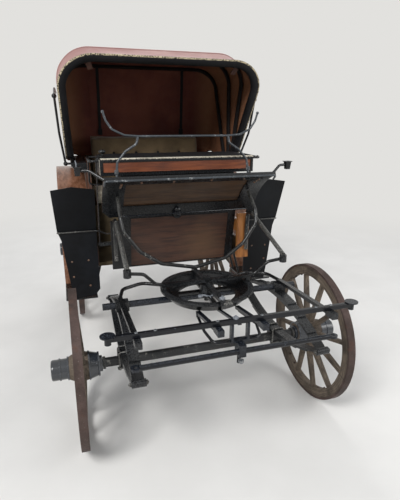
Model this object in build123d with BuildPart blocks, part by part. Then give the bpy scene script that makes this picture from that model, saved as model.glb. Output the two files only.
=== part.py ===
from build123d import *
import os
from math import asin, cos, degrees, hypot, radians, sin

# Horse-drawn carriage with a folding hood, four spoked wheels and a steered forecarriage.
# Millimetres. The front faces -Y, +X is the carriage's left side, +Z is up, the wheels stand on Z = 0.

os.makedirs("parts", exist_ok=True)

# Driving dimensions: wheels and stance
FRONT_WHEEL_R = 423.0
REAR_WHEEL_R = 590.0
FRONT_HALF_TRACK = 708.0
REAR_HALF_TRACK = 648.0
WHEELBASE = 1700.0
DRAUGHT_REACH = 563.0          # from the front axle to the foremost iron
WING_R, WING_T = 715.0, 8.0
WING_CREST, WING_TAIL = 80.0, 155.0
WING_REACH = (WING_R + WING_T) * cos(radians(180 - WING_TAIL))
FRONT_AXLE_Y = -(WHEELBASE + WING_REACH - DRAUGHT_REACH) / 2
SIDES = (("right", -1), ("left", 1))


def back(distance):
    """Y of a place that far behind the front axle."""
    return FRONT_AXLE_Y + distance


REAR_AXLE_Y = back(WHEELBASE)


def ahead(distance):
    """Y of a place that far ahead of the rear axle."""
    return REAR_AXLE_Y - distance


SEAT_GAP = 0.4                 # between irons that lie on one another

# Wheels
TYRE_W, TYRE_T = 42.0, 14.0
FELLOE_W, FELLOE_T = 38.0, 50.0
FRONT_SPOKES, REAR_SPOKES = 12, 14
SPOKE_FOOT = (40.0, 26.0)
SPOKE_TIP = (30.0, 22.0)
SPOKE_ROUND = 7.0
SPOKE_TENON = 8.0
DISH = 16.0
NAVE_R, NAVE_IN_R, NAVE_OUT_R = 78.0, 58.0, 60.0
NAVE_INNER, NAVE_OUTER = 108.0, 50.0
BAND_W, BAND_T, BAND_R = 58.0, 4.0, 70.0
BEAD_W, BEAD_T = 8.0, 4.0
BOX_R, BOX_REACH = 44.0, 15.0
CAP_R, CAP_REACH, CAP_T, CAP_ROUND = 55.0, 141.0, 7.0, 10.0
FLANGE_R, FLANGE_W, CAP_BEAD_Z = 62.0, 9.0, 92.0
ARM_R = 19.0
ARM_CLEARANCE = 0.06
ARM_END_GAP = 12.0
COLLAR_GAP, COLLAR_R, COLLAR_W = 3.0, 34.0, 14.0

# Springs, axles and bolster
AXLE_R = 26.0
LEAF_W, LEAF_T = 54.0, 7.0
LEAF_SHARES = (1.0, 0.78, 0.56, 0.34)
SPRING_HALF_GAUGE = 461.0
FRONT_SPRING_HALF_L = 490.0
REAR_SPRING_HALF_L = 380.0
REAR_SPRING_RISE, REAR_BLOCK_H = 286.0, 30.0
EYE_R, EYE_W = 18.0, 66.0
BOLSTER_R, BOLSTER_HALF = 18.0, 563.0
BOLSTER_Z = 752.0
CLIP_PLATE_T, CLIP_L, CLIP_SINK, CLIP_SPREAD = 6.0, 56.0, 3.0, 8.0

# Fifth wheel
KINGPIN_Y = back(-40)
RING_R, RING_BAND = 255.0, 28.0
RING_T = 12.0
LOWER_RING_TOP = 814.0
DRUM_INSET, DRUM_TAPER, DRUM_WALL, DRUM_FLOOR = 12.0, 36.0, 12.0, 50.0
KINGPIN_R, KINGPIN_CLEARANCE, KINGPIN_BOSS = 14.0, 0.06, 34.0
PERCH_W, PERCH_T, PERCH_NOSE = 26.0, 20.0, 6.0
BED_W, BED_T = 24.0, 18.0
STAY_ANGLE = 38.0              # where the bent stays meet the drum, from its side towards the rear

# Draught gear
SPLINTER_Y, SPLINTER_Z = back(-514), 840.0
SPLINTER_HALF, SPLINTER_T = 583.0, 24.0
ROLLER_R, ROLLER_T = 32.0, 5.0
BLOCK_Y = back(-548)
BLOCK_SIZE = 30.0
EVENER_Y, EVENER_Z, EVENER_HALF = back(-541), 700.0, 500.0
EVENER_R = 13.0
POLE_LOOP_W, POLE_LOOP_H = 66.0, 92.0
POLE_IRON = 12.0

# Box seat and boot
TOE_HALF = 497.0
TOE_TOP = (back(173), 1384.0)
TOE_MID = (back(359), 1287.0)
TOE_LOW = (back(486), 1120.0)
BOOT_FOOT = (back(556), 765.0)
BOOT_HALF = 375.0
BOOT_BACK = back(780)
WALL = 20.0
SEAT_HALF = 491.0
SEAT_FRONT, SEAT_BACK = back(490), back(830)
SEAT_LOW, SEAT_TOP = 1372.0, 1471.0

# Passenger body and hood
TUB_HALF = 535.0
FLOOR_Z, FLOOR_T = 740.0, 25.0
ENTRY_Z = 850.0
ELBOW_Z = 1395.0
TUB_BACK_LOW = (ahead(60), 950.0)
TUB_BACK_TOP = (ahead(-90), ELBOW_Z)
RISER_Y = ahead(550)
HOOD_T = 8.0

# Wings, guards and steps
STEP_Z = 532.0
GUARD_T = 9.0
WING_START = degrees(asin((STEP_Z - REAR_WHEEL_R) / WING_R))
GUARD_IN = TUB_HALF - 8


def bent_rod(points, radius, bend=None):
    """A round iron rod along the points, with its corners bent to one radius."""
    with BuildPart() as rod:
        with BuildLine() as path:
            if len(points) == 2:
                Line(*points)
            else:
                FilletPolyline(*points, radius=bend)
        with BuildSketch(Plane(origin=path.line @ 0, z_dir=path.line % 0)):
            Circle(radius)
        sweep()
    return rod.part


def bent_bar(points, across, width, thickness, bend=None):
    """A flat iron bar along the points, its width lying along the across direction."""
    with BuildPart() as bar:
        with BuildLine() as path:
            if len(points) == 2:
                Line(*points)
            else:
                FilletPolyline(*points, radius=bend)
        with BuildSketch(Plane(origin=path.line @ 0, x_dir=across, z_dir=path.line % 0)):
            Rectangle(width, thickness)
        sweep(transition=Transition.ROUND)
    return bar.part


def ball(centre, radius):
    """A turned iron ball."""
    with BuildPart() as turned:
        with Locations(centre):
            Sphere(radius)
    return turned.part


def post(foot, radius, height):
    """A round upright boss or bolt standing on its foot."""
    with BuildPart() as boss:
        with BuildSketch(Plane(origin=foot)):
            Circle(radius)
        extrude(amount=height)
    return boss.part


def block(corner, opposite):
    """A square-edged block between two opposite corners."""
    size = [abs(b - a) for a, b in zip(corner, opposite)]
    middle = tuple((a + b) / 2 for a, b in zip(corner, opposite))
    with BuildPart() as solid:
        with Locations(middle):
            Box(*size)
    return solid.part


def profile(outline, half_from, half_to):
    """A closed YZ outline of straight lines extruded from one X to another."""
    with BuildPart() as plate:
        with BuildSketch(Plane.YZ.offset(half_from)):
            with BuildLine():
                Polyline(*outline, close=True)
            make_face()
        extrude(amount=half_to - half_from)
    return plate.part


def leaf_pack(x, y, eye_z, half_length, rise, upward):
    """Half an elliptic spring: graduated leaves on one arc, the long eyed leaf innermost."""
    inner_rise = rise - LEAF_T * (len(LEAF_SHARES) - 0.5)
    radius = (half_length**2 + inner_rise**2) / (2 * inner_rise)
    sweep_angle = asin(half_length / radius)
    centre_z = eye_z + upward * (inner_rise - radius)
    with BuildPart() as pack:
        with BuildSketch(Plane.YZ.offset(x - LEAF_W / 2)):
            for layer, share in enumerate(LEAF_SHARES):
                near = radius + (layer - 0.5) * LEAF_T
                far = near + LEAF_T
                reach = sweep_angle * share
                with BuildLine():
                    ends = []
                    for r in (near, far):
                        left = (y - r * sin(reach), centre_z + upward * r * cos(reach))
                        right = (y + r * sin(reach), centre_z + upward * r * cos(reach))
                        ThreePointArc(left, (y, centre_z + upward * r), right)
                        ends.append((left, right))
                    Line(ends[0][0], ends[1][0])
                    Line(ends[0][1], ends[1][1])
                make_face()
        extrude(amount=LEAF_W)
    return pack.part


def elliptic_spring(x, y, low_z, high_z, half_length):
    """A full elliptic spring between two seats, with rolled eyes at both ends."""
    eye_z = (low_z + high_z) / 2
    rise = (high_z - low_z) / 2
    with BuildPart() as spring:
        add(leaf_pack(x, y, eye_z, half_length, rise, 1))
        add(leaf_pack(x, y, eye_z, half_length, rise, -1))
        for end in (-1, 1):
            with BuildSketch(Plane.YZ.offset(x - EYE_W / 2)):
                with Locations((y + end * half_length, eye_z)):
                    Circle(EYE_R)
            extrude(amount=EYE_W)
    return spring.part


def saddle(x, y, beam_z, beam_r, seat_z):
    """A clip block that seats a leaf pack on a round beam."""
    upward = 1 if beam_z > seat_z else -1
    far_z = beam_z + upward * (beam_r + CLIP_PLATE_T)
    with BuildPart() as clip:
        add(block((x - LEAF_W / 2 - CLIP_SPREAD, y - CLIP_L / 2, seat_z - upward * CLIP_SINK),
                  (x + LEAF_W / 2 + CLIP_SPREAD, y + CLIP_L / 2, far_z)))
        with BuildSketch(Plane.YZ.offset(x - LEAF_W)):
            with Locations((y, beam_z)):
                Circle(beam_r)
        extrude(amount=LEAF_W * 2, mode=Mode.SUBTRACT)
    return clip.part


def axle(half_track, y, z):
    """An axle beam with a collar and a turned arm at each end."""
    collar_x = half_track - NAVE_INNER - BOX_REACH - COLLAR_GAP
    arm_end = half_track + CAP_REACH - ARM_END_GAP
    with BuildPart() as beam:
        for radius, half in ((AXLE_R, collar_x), (ARM_R, arm_end)):
            with BuildSketch(Plane.YZ.offset(-half)):
                with Locations((y, z)):
                    Circle(radius)
            extrude(amount=2 * half)
        for side in (-1, 1):
            with BuildSketch(Plane.YZ.offset(side * collar_x)):
                with Locations((y, z)):
                    Circle(COLLAR_R)
            extrude(amount=-side * COLLAR_W)
    return beam.part


def wheel_pair(pair, half_track, y, rim_r, spokes):
    """Both wheels of one axle: wooden felloes, spokes and nave, an iron tyre, and the iron hub."""
    felloe_r = rim_r - TYRE_T
    felloe_in = felloe_r - FELLOE_T
    nave_l = NAVE_INNER + NAVE_OUTER

    with BuildPart() as tyre:
        with BuildSketch(Plane.XY.offset(-TYRE_W / 2)):
            Circle(rim_r)
            Circle(felloe_r, mode=Mode.SUBTRACT)
        extrude(amount=TYRE_W)

    with BuildPart() as spoke:
        with BuildSketch(Plane.YZ.offset(NAVE_R - SPOKE_TENON)):
            with Locations((0, -DISH)):
                RectangleRounded(SPOKE_FOOT[1], SPOKE_FOOT[0], SPOKE_ROUND)
        with BuildSketch(Plane.YZ.offset(felloe_in + SPOKE_TENON)):
            RectangleRounded(SPOKE_TIP[1], SPOKE_TIP[0], SPOKE_ROUND)
        loft()

    band_z = BAND_W - NAVE_INNER
    with BuildPart() as wood:
        with BuildSketch(Plane.XY.offset(-FELLOE_W / 2)):
            Circle(felloe_r)
            Circle(felloe_in, mode=Mode.SUBTRACT)
        extrude(amount=FELLOE_W)
        with BuildSketch(Plane.XZ):
            with BuildLine():
                Polyline((0, NAVE_OUTER), (0, -NAVE_INNER), (NAVE_IN_R, -NAVE_INNER), (BAND_R, band_z),
                         (BAND_R + BAND_T, band_z))
                ThreePointArc((BAND_R + BAND_T, band_z), (NAVE_R, -DISH), (NAVE_OUT_R, NAVE_OUTER))
                Line((NAVE_OUT_R, NAVE_OUTER), (0, NAVE_OUTER))
            make_face()
        revolve(axis=Axis.Z)
        with PolarLocations(0, spokes, start_angle=180 / spokes):
            add(spoke.part)
        with BuildSketch(Plane.XY.offset(-NAVE_INNER)):
            Circle(BOX_R)
        extrude(amount=nave_l, mode=Mode.SUBTRACT)

    bead_r, end_bead_r = BAND_R + BAND_T + BEAD_T, NAVE_IN_R + BAND_T + BEAD_T
    cap_z, box_z = NAVE_OUTER + FLANGE_W, -NAVE_INNER - BOX_REACH
    with BuildPart() as hub:
        with BuildSketch(Plane.XZ):
            with BuildLine():
                Polyline((NAVE_IN_R, -NAVE_INNER), (BAND_R, band_z), (bead_r, band_z),
                         (bead_r, band_z - BEAD_W), (BAND_R + BAND_T, band_z - BEAD_W),
                         (NAVE_IN_R + BAND_T, BEAD_W - NAVE_INNER), (end_bead_r, BEAD_W - NAVE_INNER),
                         (end_bead_r, -NAVE_INNER), close=True)
            make_face()
            with BuildLine():
                Polyline((0, box_z), (BOX_R, box_z), (BOX_R, NAVE_OUTER), (FLANGE_R, NAVE_OUTER),
                         (FLANGE_R, cap_z), (CAP_R, cap_z), (CAP_R, CAP_BEAD_Z),
                         (CAP_R + BEAD_T, CAP_BEAD_Z), (CAP_R + BEAD_T, CAP_BEAD_Z + BEAD_W),
                         (CAP_R, CAP_BEAD_Z + BEAD_W), (CAP_R, CAP_REACH), (0, CAP_REACH), close=True)
            make_face()
        revolve(axis=Axis.Z)
        fillet(hub.edges().filter_by(GeomType.CIRCLE).sort_by(Axis.Z)[-1], CAP_ROUND)
        with BuildSketch(Plane.XY.offset(box_z)):
            Circle(ARM_R + ARM_CLEARANCE)
        extrude(amount=CAP_REACH - CAP_T - box_z, mode=Mode.SUBTRACT)

    for side_name, side in SIDES:
        seat = Plane(origin=(side * half_track, y, rim_r), x_dir=(0, 1, 0), z_dir=(side, 0, 0)).location
        for kind, piece in (("tyre", tyre), ("wheel", wood), ("hub", hub)):
            with BuildPart() as placed:
                with Locations(seat):
                    add(piece.part)
            placed.part.label = f"{kind}_{pair}_{side_name}"
            export_step(placed.part, f"parts/{kind}_{pair}_{side_name}.step")


wheel_pair("front", FRONT_HALF_TRACK, FRONT_AXLE_Y, FRONT_WHEEL_R, FRONT_SPOKES)
wheel_pair("rear", REAR_HALF_TRACK, REAR_AXLE_Y, REAR_WHEEL_R, REAR_SPOKES)

# Axles
with BuildPart() as front_axle:
    add(axle(FRONT_HALF_TRACK, FRONT_AXLE_Y, FRONT_WHEEL_R))
front_axle.part.label = "front_axle"
export_step(front_axle.part, "parts/front_axle.step")

with BuildPart() as rear_axle:
    add(axle(REAR_HALF_TRACK, REAR_AXLE_Y, REAR_WHEEL_R))
rear_axle.part.label = "rear_axle"
export_step(rear_axle.part, "parts/rear_axle.step")

# Elliptic springs, clipped to the axle below and to the bolster or the body block above
FRONT_SEAT_LOW = FRONT_WHEEL_R + AXLE_R + CLIP_PLATE_T
FRONT_SEAT_HIGH = BOLSTER_Z - BOLSTER_R - CLIP_PLATE_T
REAR_SEAT_LOW = REAR_WHEEL_R + AXLE_R + CLIP_PLATE_T
REAR_SEAT_HIGH = REAR_SEAT_LOW + REAR_SPRING_RISE
REAR_SPRING_HALF_GAUGE = SPRING_HALF_GAUGE - FRONT_HALF_TRACK + REAR_HALF_TRACK
REAR_BED_Z = REAR_SEAT_HIGH + REAR_BLOCK_H
for side_name, side in SIDES:
    x = side * SPRING_HALF_GAUGE
    with BuildPart() as front_spring:
        add(elliptic_spring(x, FRONT_AXLE_Y, FRONT_SEAT_LOW, FRONT_SEAT_HIGH, FRONT_SPRING_HALF_L))
        add(saddle(x, FRONT_AXLE_Y, BOLSTER_Z, BOLSTER_R, FRONT_SEAT_HIGH))
        add(saddle(x, FRONT_AXLE_Y, FRONT_WHEEL_R, AXLE_R, FRONT_SEAT_LOW))
    front_spring.part.label = f"front_spring_{side_name}"
    export_step(front_spring.part, f"parts/front_spring_{side_name}.step")

    x = side * REAR_SPRING_HALF_GAUGE
    with BuildPart() as rear_spring:
        add(elliptic_spring(x, REAR_AXLE_Y, REAR_SEAT_LOW, REAR_SEAT_HIGH, REAR_SPRING_HALF_L))
        add(saddle(x, REAR_AXLE_Y, REAR_WHEEL_R, AXLE_R, REAR_SEAT_LOW))
        add(block((x - LEAF_W / 2, REAR_AXLE_Y - CLIP_L / 2, REAR_SEAT_HIGH - CLIP_SINK),
                  (x + LEAF_W / 2, REAR_AXLE_Y + CLIP_L / 2, REAR_BED_Z)))
    rear_spring.part.label = f"rear_spring_{side_name}"
    export_step(rear_spring.part, f"parts/rear_spring_{side_name}.step")

# Bolster beam and the lower half of the fifth wheel that turns with it
with BuildPart() as bolster:
    add(bent_rod([(-BOLSTER_HALF, FRONT_AXLE_Y, BOLSTER_Z), (BOLSTER_HALF, FRONT_AXLE_Y, BOLSTER_Z)],
                 BOLSTER_R))
bolster.part.label = "bolster"
export_step(bolster.part, "parts/bolster.step")

LOWER_PLATE_Z = BOLSTER_Z + BOLSTER_R
DRUM_TOP_R = RING_R - DRUM_INSET
DRUM_FOOT_R = DRUM_TOP_R - DRUM_TAPER
DRUM_EYE_R = DRUM_FOOT_R - DRUM_FLOOR
CROSS_W = 40.0
with BuildPart() as lower_ring:
    with BuildSketch(Plane.XZ.offset(-KINGPIN_Y)):
        with BuildLine():
            Polyline((DRUM_EYE_R, LOWER_PLATE_Z), (DRUM_FOOT_R, LOWER_PLATE_Z),
                     (DRUM_TOP_R, LOWER_RING_TOP - RING_T / 2), (DRUM_TOP_R, LOWER_RING_TOP),
                     (DRUM_TOP_R - DRUM_WALL, LOWER_RING_TOP),
                     (DRUM_FOOT_R - DRUM_WALL, LOWER_PLATE_Z + RING_T),
                     (DRUM_EYE_R, LOWER_PLATE_Z + RING_T), close=True)
        make_face()
    revolve(axis=Axis((0, KINGPIN_Y, 0), (0, 0, 1)))
    with BuildSketch(Plane(origin=(0, KINGPIN_Y, LOWER_PLATE_Z))):
        with Locations((0, FRONT_AXLE_Y - KINGPIN_Y)):
            Rectangle(2 * DRUM_EYE_R + DRUM_FLOOR, CROSS_W)
        Rectangle(BED_W, 2 * DRUM_EYE_R + DRUM_FLOOR)
    extrude(amount=RING_T)
    add(post((0, KINGPIN_Y, LOWER_PLATE_Z), KINGPIN_BOSS, LOWER_RING_TOP - LOWER_PLATE_Z))
    with BuildSketch(Plane(origin=(0, KINGPIN_Y, LOWER_PLATE_Z - 1))):
        Circle(KINGPIN_R + KINGPIN_CLEARANCE)
    extrude(amount=LOWER_RING_TOP - LOWER_PLATE_Z + 2, mode=Mode.SUBTRACT)
lower_ring.part.label = "lower_ring"
export_step(lower_ring.part, "parts/lower_ring.step")

# Futchells: straight bars from under the drum to blocks behind the splinter bar, with a hooped stay below
FUTCHELL_X, FUTCHELL_W, FUTCHELL_T = 107.0, 22.0, 16.0
MIDDLE_BAR_W, MIDDLE_BAR_T = 16.0, 10.0
HOOP_STAY_R, HOOP_STAY_BEND = 7.0, 34.0
HOOP_STAY_SPREADS = (6.0, 26.0, 8.0)     # foot, knee and front, outside the futchells
HOOP_STAY_FOOT_BEFORE, HOOP_STAY_KNEE_BEHIND = 20.0, 110.0
HOOP_STAY_KNEE_RISE, HOOP_STAY_DROP = 16.0, 4.0
SPLINTER_UNDER = SPLINTER_Z - SPLINTER_T / 2
BLOCK_TOP = SPLINTER_UNDER
DRUM_LIP_Y = KINGPIN_Y - DRUM_FOOT_R + DRUM_FLOOR / 2
LOOP_LOW = SPLINTER_UNDER - POLE_LOOP_H
with BuildPart() as futchells:
    for side in (-1, 1):
        add(bent_bar([(side * FUTCHELL_X, DRUM_LIP_Y, LOWER_PLATE_Z - FUTCHELL_T / 2 - SEAT_GAP),
                      (side * FUTCHELL_X, BLOCK_Y, BLOCK_TOP - BLOCK_SIZE / 2)], (1, 0, 0),
                     FUTCHELL_W, FUTCHELL_T))
        add(block((side * FUTCHELL_X - BLOCK_SIZE / 2, BLOCK_Y - BLOCK_SIZE / 2, BLOCK_TOP - BLOCK_SIZE),
                  (side * FUTCHELL_X + BLOCK_SIZE / 2, SPLINTER_Y + SPLINTER_T / 2, BLOCK_TOP)))
    add(bent_bar([(0, DRUM_LIP_Y, LOWER_PLATE_Z - MIDDLE_BAR_T / 2 - SEAT_GAP),
                  (0, SPLINTER_Y, SPLINTER_UNDER - MIDDLE_BAR_T / 2 - SEAT_GAP)], (1, 0, 0),
                 MIDDLE_BAR_W, MIDDLE_BAR_T))
    foot_x, knee_x, front_x = [FUTCHELL_X + spread for spread in HOOP_STAY_SPREADS]
    stay_foot = (foot_x, DRUM_LIP_Y - HOOP_STAY_FOOT_BEFORE, LOWER_PLATE_Z - FUTCHELL_T - HOOP_STAY_R)
    stay_knee = (knee_x, SPLINTER_Y + HOOP_STAY_KNEE_BEHIND, LOOP_LOW + HOOP_STAY_KNEE_RISE)
    stay_front = (front_x, SPLINTER_Y + POLE_IRON + HOOP_STAY_R + SEAT_GAP, LOOP_LOW - HOOP_STAY_DROP)
    stay = [stay_foot, stay_knee, stay_front]
    add(bent_rod([(-x, y, z) for x, y, z in stay] + stay[::-1], HOOP_STAY_R, HOOP_STAY_BEND))
    for side in (-1, 1):
        add(post((side * foot_x, stay_foot[1], stay_foot[2]), HOOP_STAY_R + 2,
                 LOWER_PLATE_Z - SEAT_GAP - stay_foot[2]))
    add(lower_ring.part, mode=Mode.SUBTRACT)
futchells.part.label = "futchells"
export_step(futchells.part, "parts/futchells.step")

# Outer braces from the spring clips to the splinter bar, and the bent stays from the clips to the drum
SADDLE_TOP = BOLSTER_Z + BOLSTER_R + CLIP_PLATE_T
BRACE_X, BRACE_W, BRACE_T = 464.0, 26.0, 18.0
STAY_R, STAY_RISE, STAY_BEND = 10.0, 6.0, 60.0
BRACE_FOOT_X = SPRING_HALF_GAUGE + CLIP_SPREAD
STAY_OUTER = (SPRING_HALF_GAUGE - 20, back(120))
STAY_INNER = (320.0, back(180))
STAY_DRUM = (DRUM_FOOT_R * cos(radians(STAY_ANGLE)), KINGPIN_Y + DRUM_FOOT_R * sin(radians(STAY_ANGLE)))
with BuildPart() as braces:
    for side in (-1, 1):
        add(bent_bar([(side * BRACE_FOOT_X, FRONT_AXLE_Y + 6, SADDLE_TOP + BRACE_T / 2 + SEAT_GAP),
                      (side * BRACE_X, BLOCK_Y, BLOCK_TOP - BRACE_T / 2 - 2)], (1, 0, 0), BRACE_W, BRACE_T))
        add(block((side * BRACE_X - BLOCK_SIZE / 2, BLOCK_Y - BLOCK_SIZE / 2, BLOCK_TOP - BLOCK_SIZE),
                  (side * BRACE_X + BLOCK_SIZE / 2, SPLINTER_Y + SPLINTER_T / 2, BLOCK_TOP)))
        stay_z = SADDLE_TOP + STAY_R + STAY_RISE
        add(bent_rod([(side * BRACE_FOOT_X, FRONT_AXLE_Y + 4, SADDLE_TOP + STAY_R + SEAT_GAP),
                      *[(side * x, y, stay_z) for x, y in (STAY_OUTER, STAY_INNER, STAY_DRUM)]],
                     STAY_R, STAY_BEND))
    add(lower_ring.part, mode=Mode.SUBTRACT)
braces.part.label = "braces"
export_step(braces.part, "parts/braces.step")

# Splinter bar with a roller disc on a bolt at each end
SPLINTER_END, SPLINTER_ROUND = 8.0, 5.0
ROLLER_PIN_R, ROLLER_PIN_L = 14.0, 12.0
with BuildPart() as splinter_bar:
    add(block((-SPLINTER_HALF - SPLINTER_END, SPLINTER_Y - SPLINTER_T / 2, SPLINTER_UNDER),
              (SPLINTER_HALF + SPLINTER_END, SPLINTER_Y + SPLINTER_T / 2, SPLINTER_Z + SPLINTER_T / 2)))
    fillet(splinter_bar.edges().filter_by(Axis.X), SPLINTER_ROUND)
    for side in (-1, 1):
        add(post((side * SPLINTER_HALF, SPLINTER_Y, SPLINTER_UNDER - ROLLER_PIN_L), ROLLER_PIN_R,
                 SPLINTER_T + ROLLER_PIN_L))
        add(post((side * SPLINTER_HALF, SPLINTER_Y, SPLINTER_Z + SPLINTER_T / 2), ROLLER_R, ROLLER_T))
splinter_bar.part.label = "splinter_bar"
export_step(splinter_bar.part, "parts/splinter_bar.step")

# Pole loop under the splinter bar with its stem, and the evener bar it carries
STEM_HALF, STEM_R, STEM_L, STEM_LIP, STEM_WALL = 17.0, 9.0, 60.0, 10.0, 4.0
EVENER_LOW = EVENER_Z - EVENER_R
with BuildPart() as pole_loop:
    with BuildSketch(Plane.XZ.offset(-SPLINTER_Y - POLE_IRON)):
        with Locations((0, (SPLINTER_UNDER + LOOP_LOW) / 2)):
            Rectangle(POLE_LOOP_W + 2 * POLE_IRON, POLE_LOOP_H)
            with Locations((0, POLE_IRON / 2)):
                Rectangle(POLE_LOOP_W, POLE_LOOP_H - POLE_IRON, mode=Mode.SUBTRACT)
    extrude(amount=2 * POLE_IRON)
    add(block((-STEM_HALF, EVENER_Y - EVENER_R - STEM_WALL, EVENER_LOW - STEM_LIP),
              (STEM_HALF, SPLINTER_Y + POLE_IRON, LOOP_LOW)))
    add(post((0, SPLINTER_Y, EVENER_LOW - STEM_L), STEM_R, STEM_L))
    add(block((-STEM_HALF, SPLINTER_Y, LOOP_LOW - STEM_HALF),
              (STEM_HALF, SPLINTER_Y + POLE_IRON + HOOP_STAY_R, LOOP_LOW + POLE_IRON)))
    add(futchells.part, mode=Mode.SUBTRACT)
    with BuildSketch(Plane.YZ.offset(-2 * STEM_HALF)):
        with Locations((EVENER_Y, EVENER_Z)):
            Circle(EVENER_R)
    extrude(amount=4 * STEM_HALF, mode=Mode.SUBTRACT)
pole_loop.part.label = "pole_loop"
export_step(pole_loop.part, "parts/pole_loop.step")

EVENER_EYE_R, EVENER_HOLE_R, EVENER_EYE_T = 22.0, 9.0, 12.0
EVENER_EYE_X = EVENER_HALF - EVENER_EYE_R
EVENER_NECK = EVENER_EYE_X - (EVENER_EYE_R + EVENER_HOLE_R) / 2
with BuildPart() as evener_bar:
    add(bent_rod([(-EVENER_NECK, EVENER_Y, EVENER_Z), (EVENER_NECK, EVENER_Y, EVENER_Z)], EVENER_R))
    for side in (-1, 1):
        with BuildSketch(Plane(origin=(side * EVENER_EYE_X, EVENER_Y, EVENER_Z - EVENER_EYE_T / 2))):
            Circle(EVENER_EYE_R)
            Circle(EVENER_HOLE_R, mode=Mode.SUBTRACT)
        extrude(amount=EVENER_EYE_T)
evener_bar.part.label = "evener_bar"
export_step(evener_bar.part, "parts/evener_bar.step")

# Upper half of the fifth wheel, carried by the body: ring, fore-and-aft bar, cross beam and its arms
UPPER_RING_Z = LOWER_RING_TOP + SEAT_GAP
PERCH_Z = UPPER_RING_Z + RING_T
BED_LOW = PERCH_Z + PERCH_T
BED_TOP = BED_LOW + BED_T
BED_MID = BED_LOW + BED_T / 2
RING_FRONT, RING_BACK = KINGPIN_Y - RING_R, KINGPIN_Y + RING_R
with BuildPart() as upper_ring:
    with BuildSketch(Plane(origin=(0, KINGPIN_Y, UPPER_RING_Z))):
        Circle(RING_R)
        Circle(RING_R - RING_BAND, mode=Mode.SUBTRACT)
    extrude(amount=RING_T)
    add(block((-PERCH_W / 2, RING_FRONT - PERCH_NOSE, PERCH_Z), (PERCH_W / 2, RING_BACK, BED_LOW)))
    add(block((-PERCH_W / 2, RING_FRONT - PERCH_NOSE, UPPER_RING_Z),
              (PERCH_W / 2, RING_FRONT + PERCH_NOSE, PERCH_Z)))
    for side in (-1, 1):
        add(block((side * (RING_R - RING_BAND + 4), KINGPIN_Y - BED_W / 2, PERCH_Z),
                  (side * (RING_R - 4), KINGPIN_Y + BED_W / 2, BED_LOW - SEAT_GAP)))
    add(post((0, KINGPIN_Y, UPPER_RING_Z), KINGPIN_BOSS, PERCH_T))
    with BuildSketch(Plane(origin=(0, KINGPIN_Y, UPPER_RING_Z - 1))):
        Circle(KINGPIN_R)
    extrude(amount=RING_T + PERCH_T + 2, mode=Mode.SUBTRACT)
upper_ring.part.label = "upper_ring"
export_step(upper_ring.part, "parts/upper_ring.step")

ARM_FOOT = (BOOT_HALF + 61, back(-83), 955.0)
ARM_KNEE = (BOOT_HALF - 25, back(-66), 938.0)
ARM_BAR_R, ARM_BEND = BED_T / 2, 50.0
ARM_BOSS_R, ARM_BOSS_H = 20.0, 40.0
with BuildPart() as top_bed:
    add(block((-RING_R, KINGPIN_Y - BED_W / 2, BED_LOW), (RING_R, KINGPIN_Y + BED_W / 2, BED_TOP)))
    with BuildSketch(Plane(origin=(0, KINGPIN_Y, BED_LOW - 1))):
        Circle(KINGPIN_R)
    extrude(amount=BED_T + 2, mode=Mode.SUBTRACT)
    for side in (-1, 1):
        arm = [(RING_R - 20, KINGPIN_Y, BED_MID), (RING_R + 30, KINGPIN_Y - 4, BED_MID + 12),
               ARM_KNEE, ARM_FOOT]
        add(bent_rod([(side * x, y, z) for x, y, z in arm], ARM_BAR_R, ARM_BEND))
        add(post((side * ARM_FOOT[0], ARM_FOOT[1], ARM_FOOT[2] - ARM_BOSS_H / 2), ARM_BOSS_R, ARM_BOSS_H))
top_bed.part.label = "top_bed"
export_step(top_bed.part, "parts/top_bed.step")

PIN_TAIL, PIN_HEAD_R, PIN_HEAD_H = 30.0, 22.0, 14.0
with BuildPart() as kingpin:
    add(post((0, KINGPIN_Y, LOWER_PLATE_Z - PIN_TAIL), KINGPIN_R, BED_TOP - LOWER_PLATE_Z + PIN_TAIL + 1))
    add(post((0, KINGPIN_Y, BED_TOP), PIN_HEAD_R, PIN_HEAD_H))
kingpin.part.label = "kingpin"
export_step(kingpin.part, "parts/kingpin.step")

# Hooped iron that carries the toe board
HOOP_R, HOOP_BEND = 11.0, 60.0
HOOP_POINTS = (
    # half width over the boot's, distance behind the front axle, height
    (36, 372, 1262),
    (39, 262, 1165),
    (30, 225, 1090),
    (-53, 212, 975),
    (-175, 198, 893),
)
with BuildPart() as hoop_iron:
    hoop = [(BOOT_HALF + x, back(y), z) for x, y, z in HOOP_POINTS] + [(0, RING_BACK - 37, BED_LOW + HOOP_R)]
    add(bent_rod([(-x, y, z) for x, y, z in hoop] + hoop[-2::-1], HOOP_R, HOOP_BEND))
hoop_iron.part.label = "hoop_iron"
export_step(hoop_iron.part, "parts/hoop_iron.step")

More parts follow.
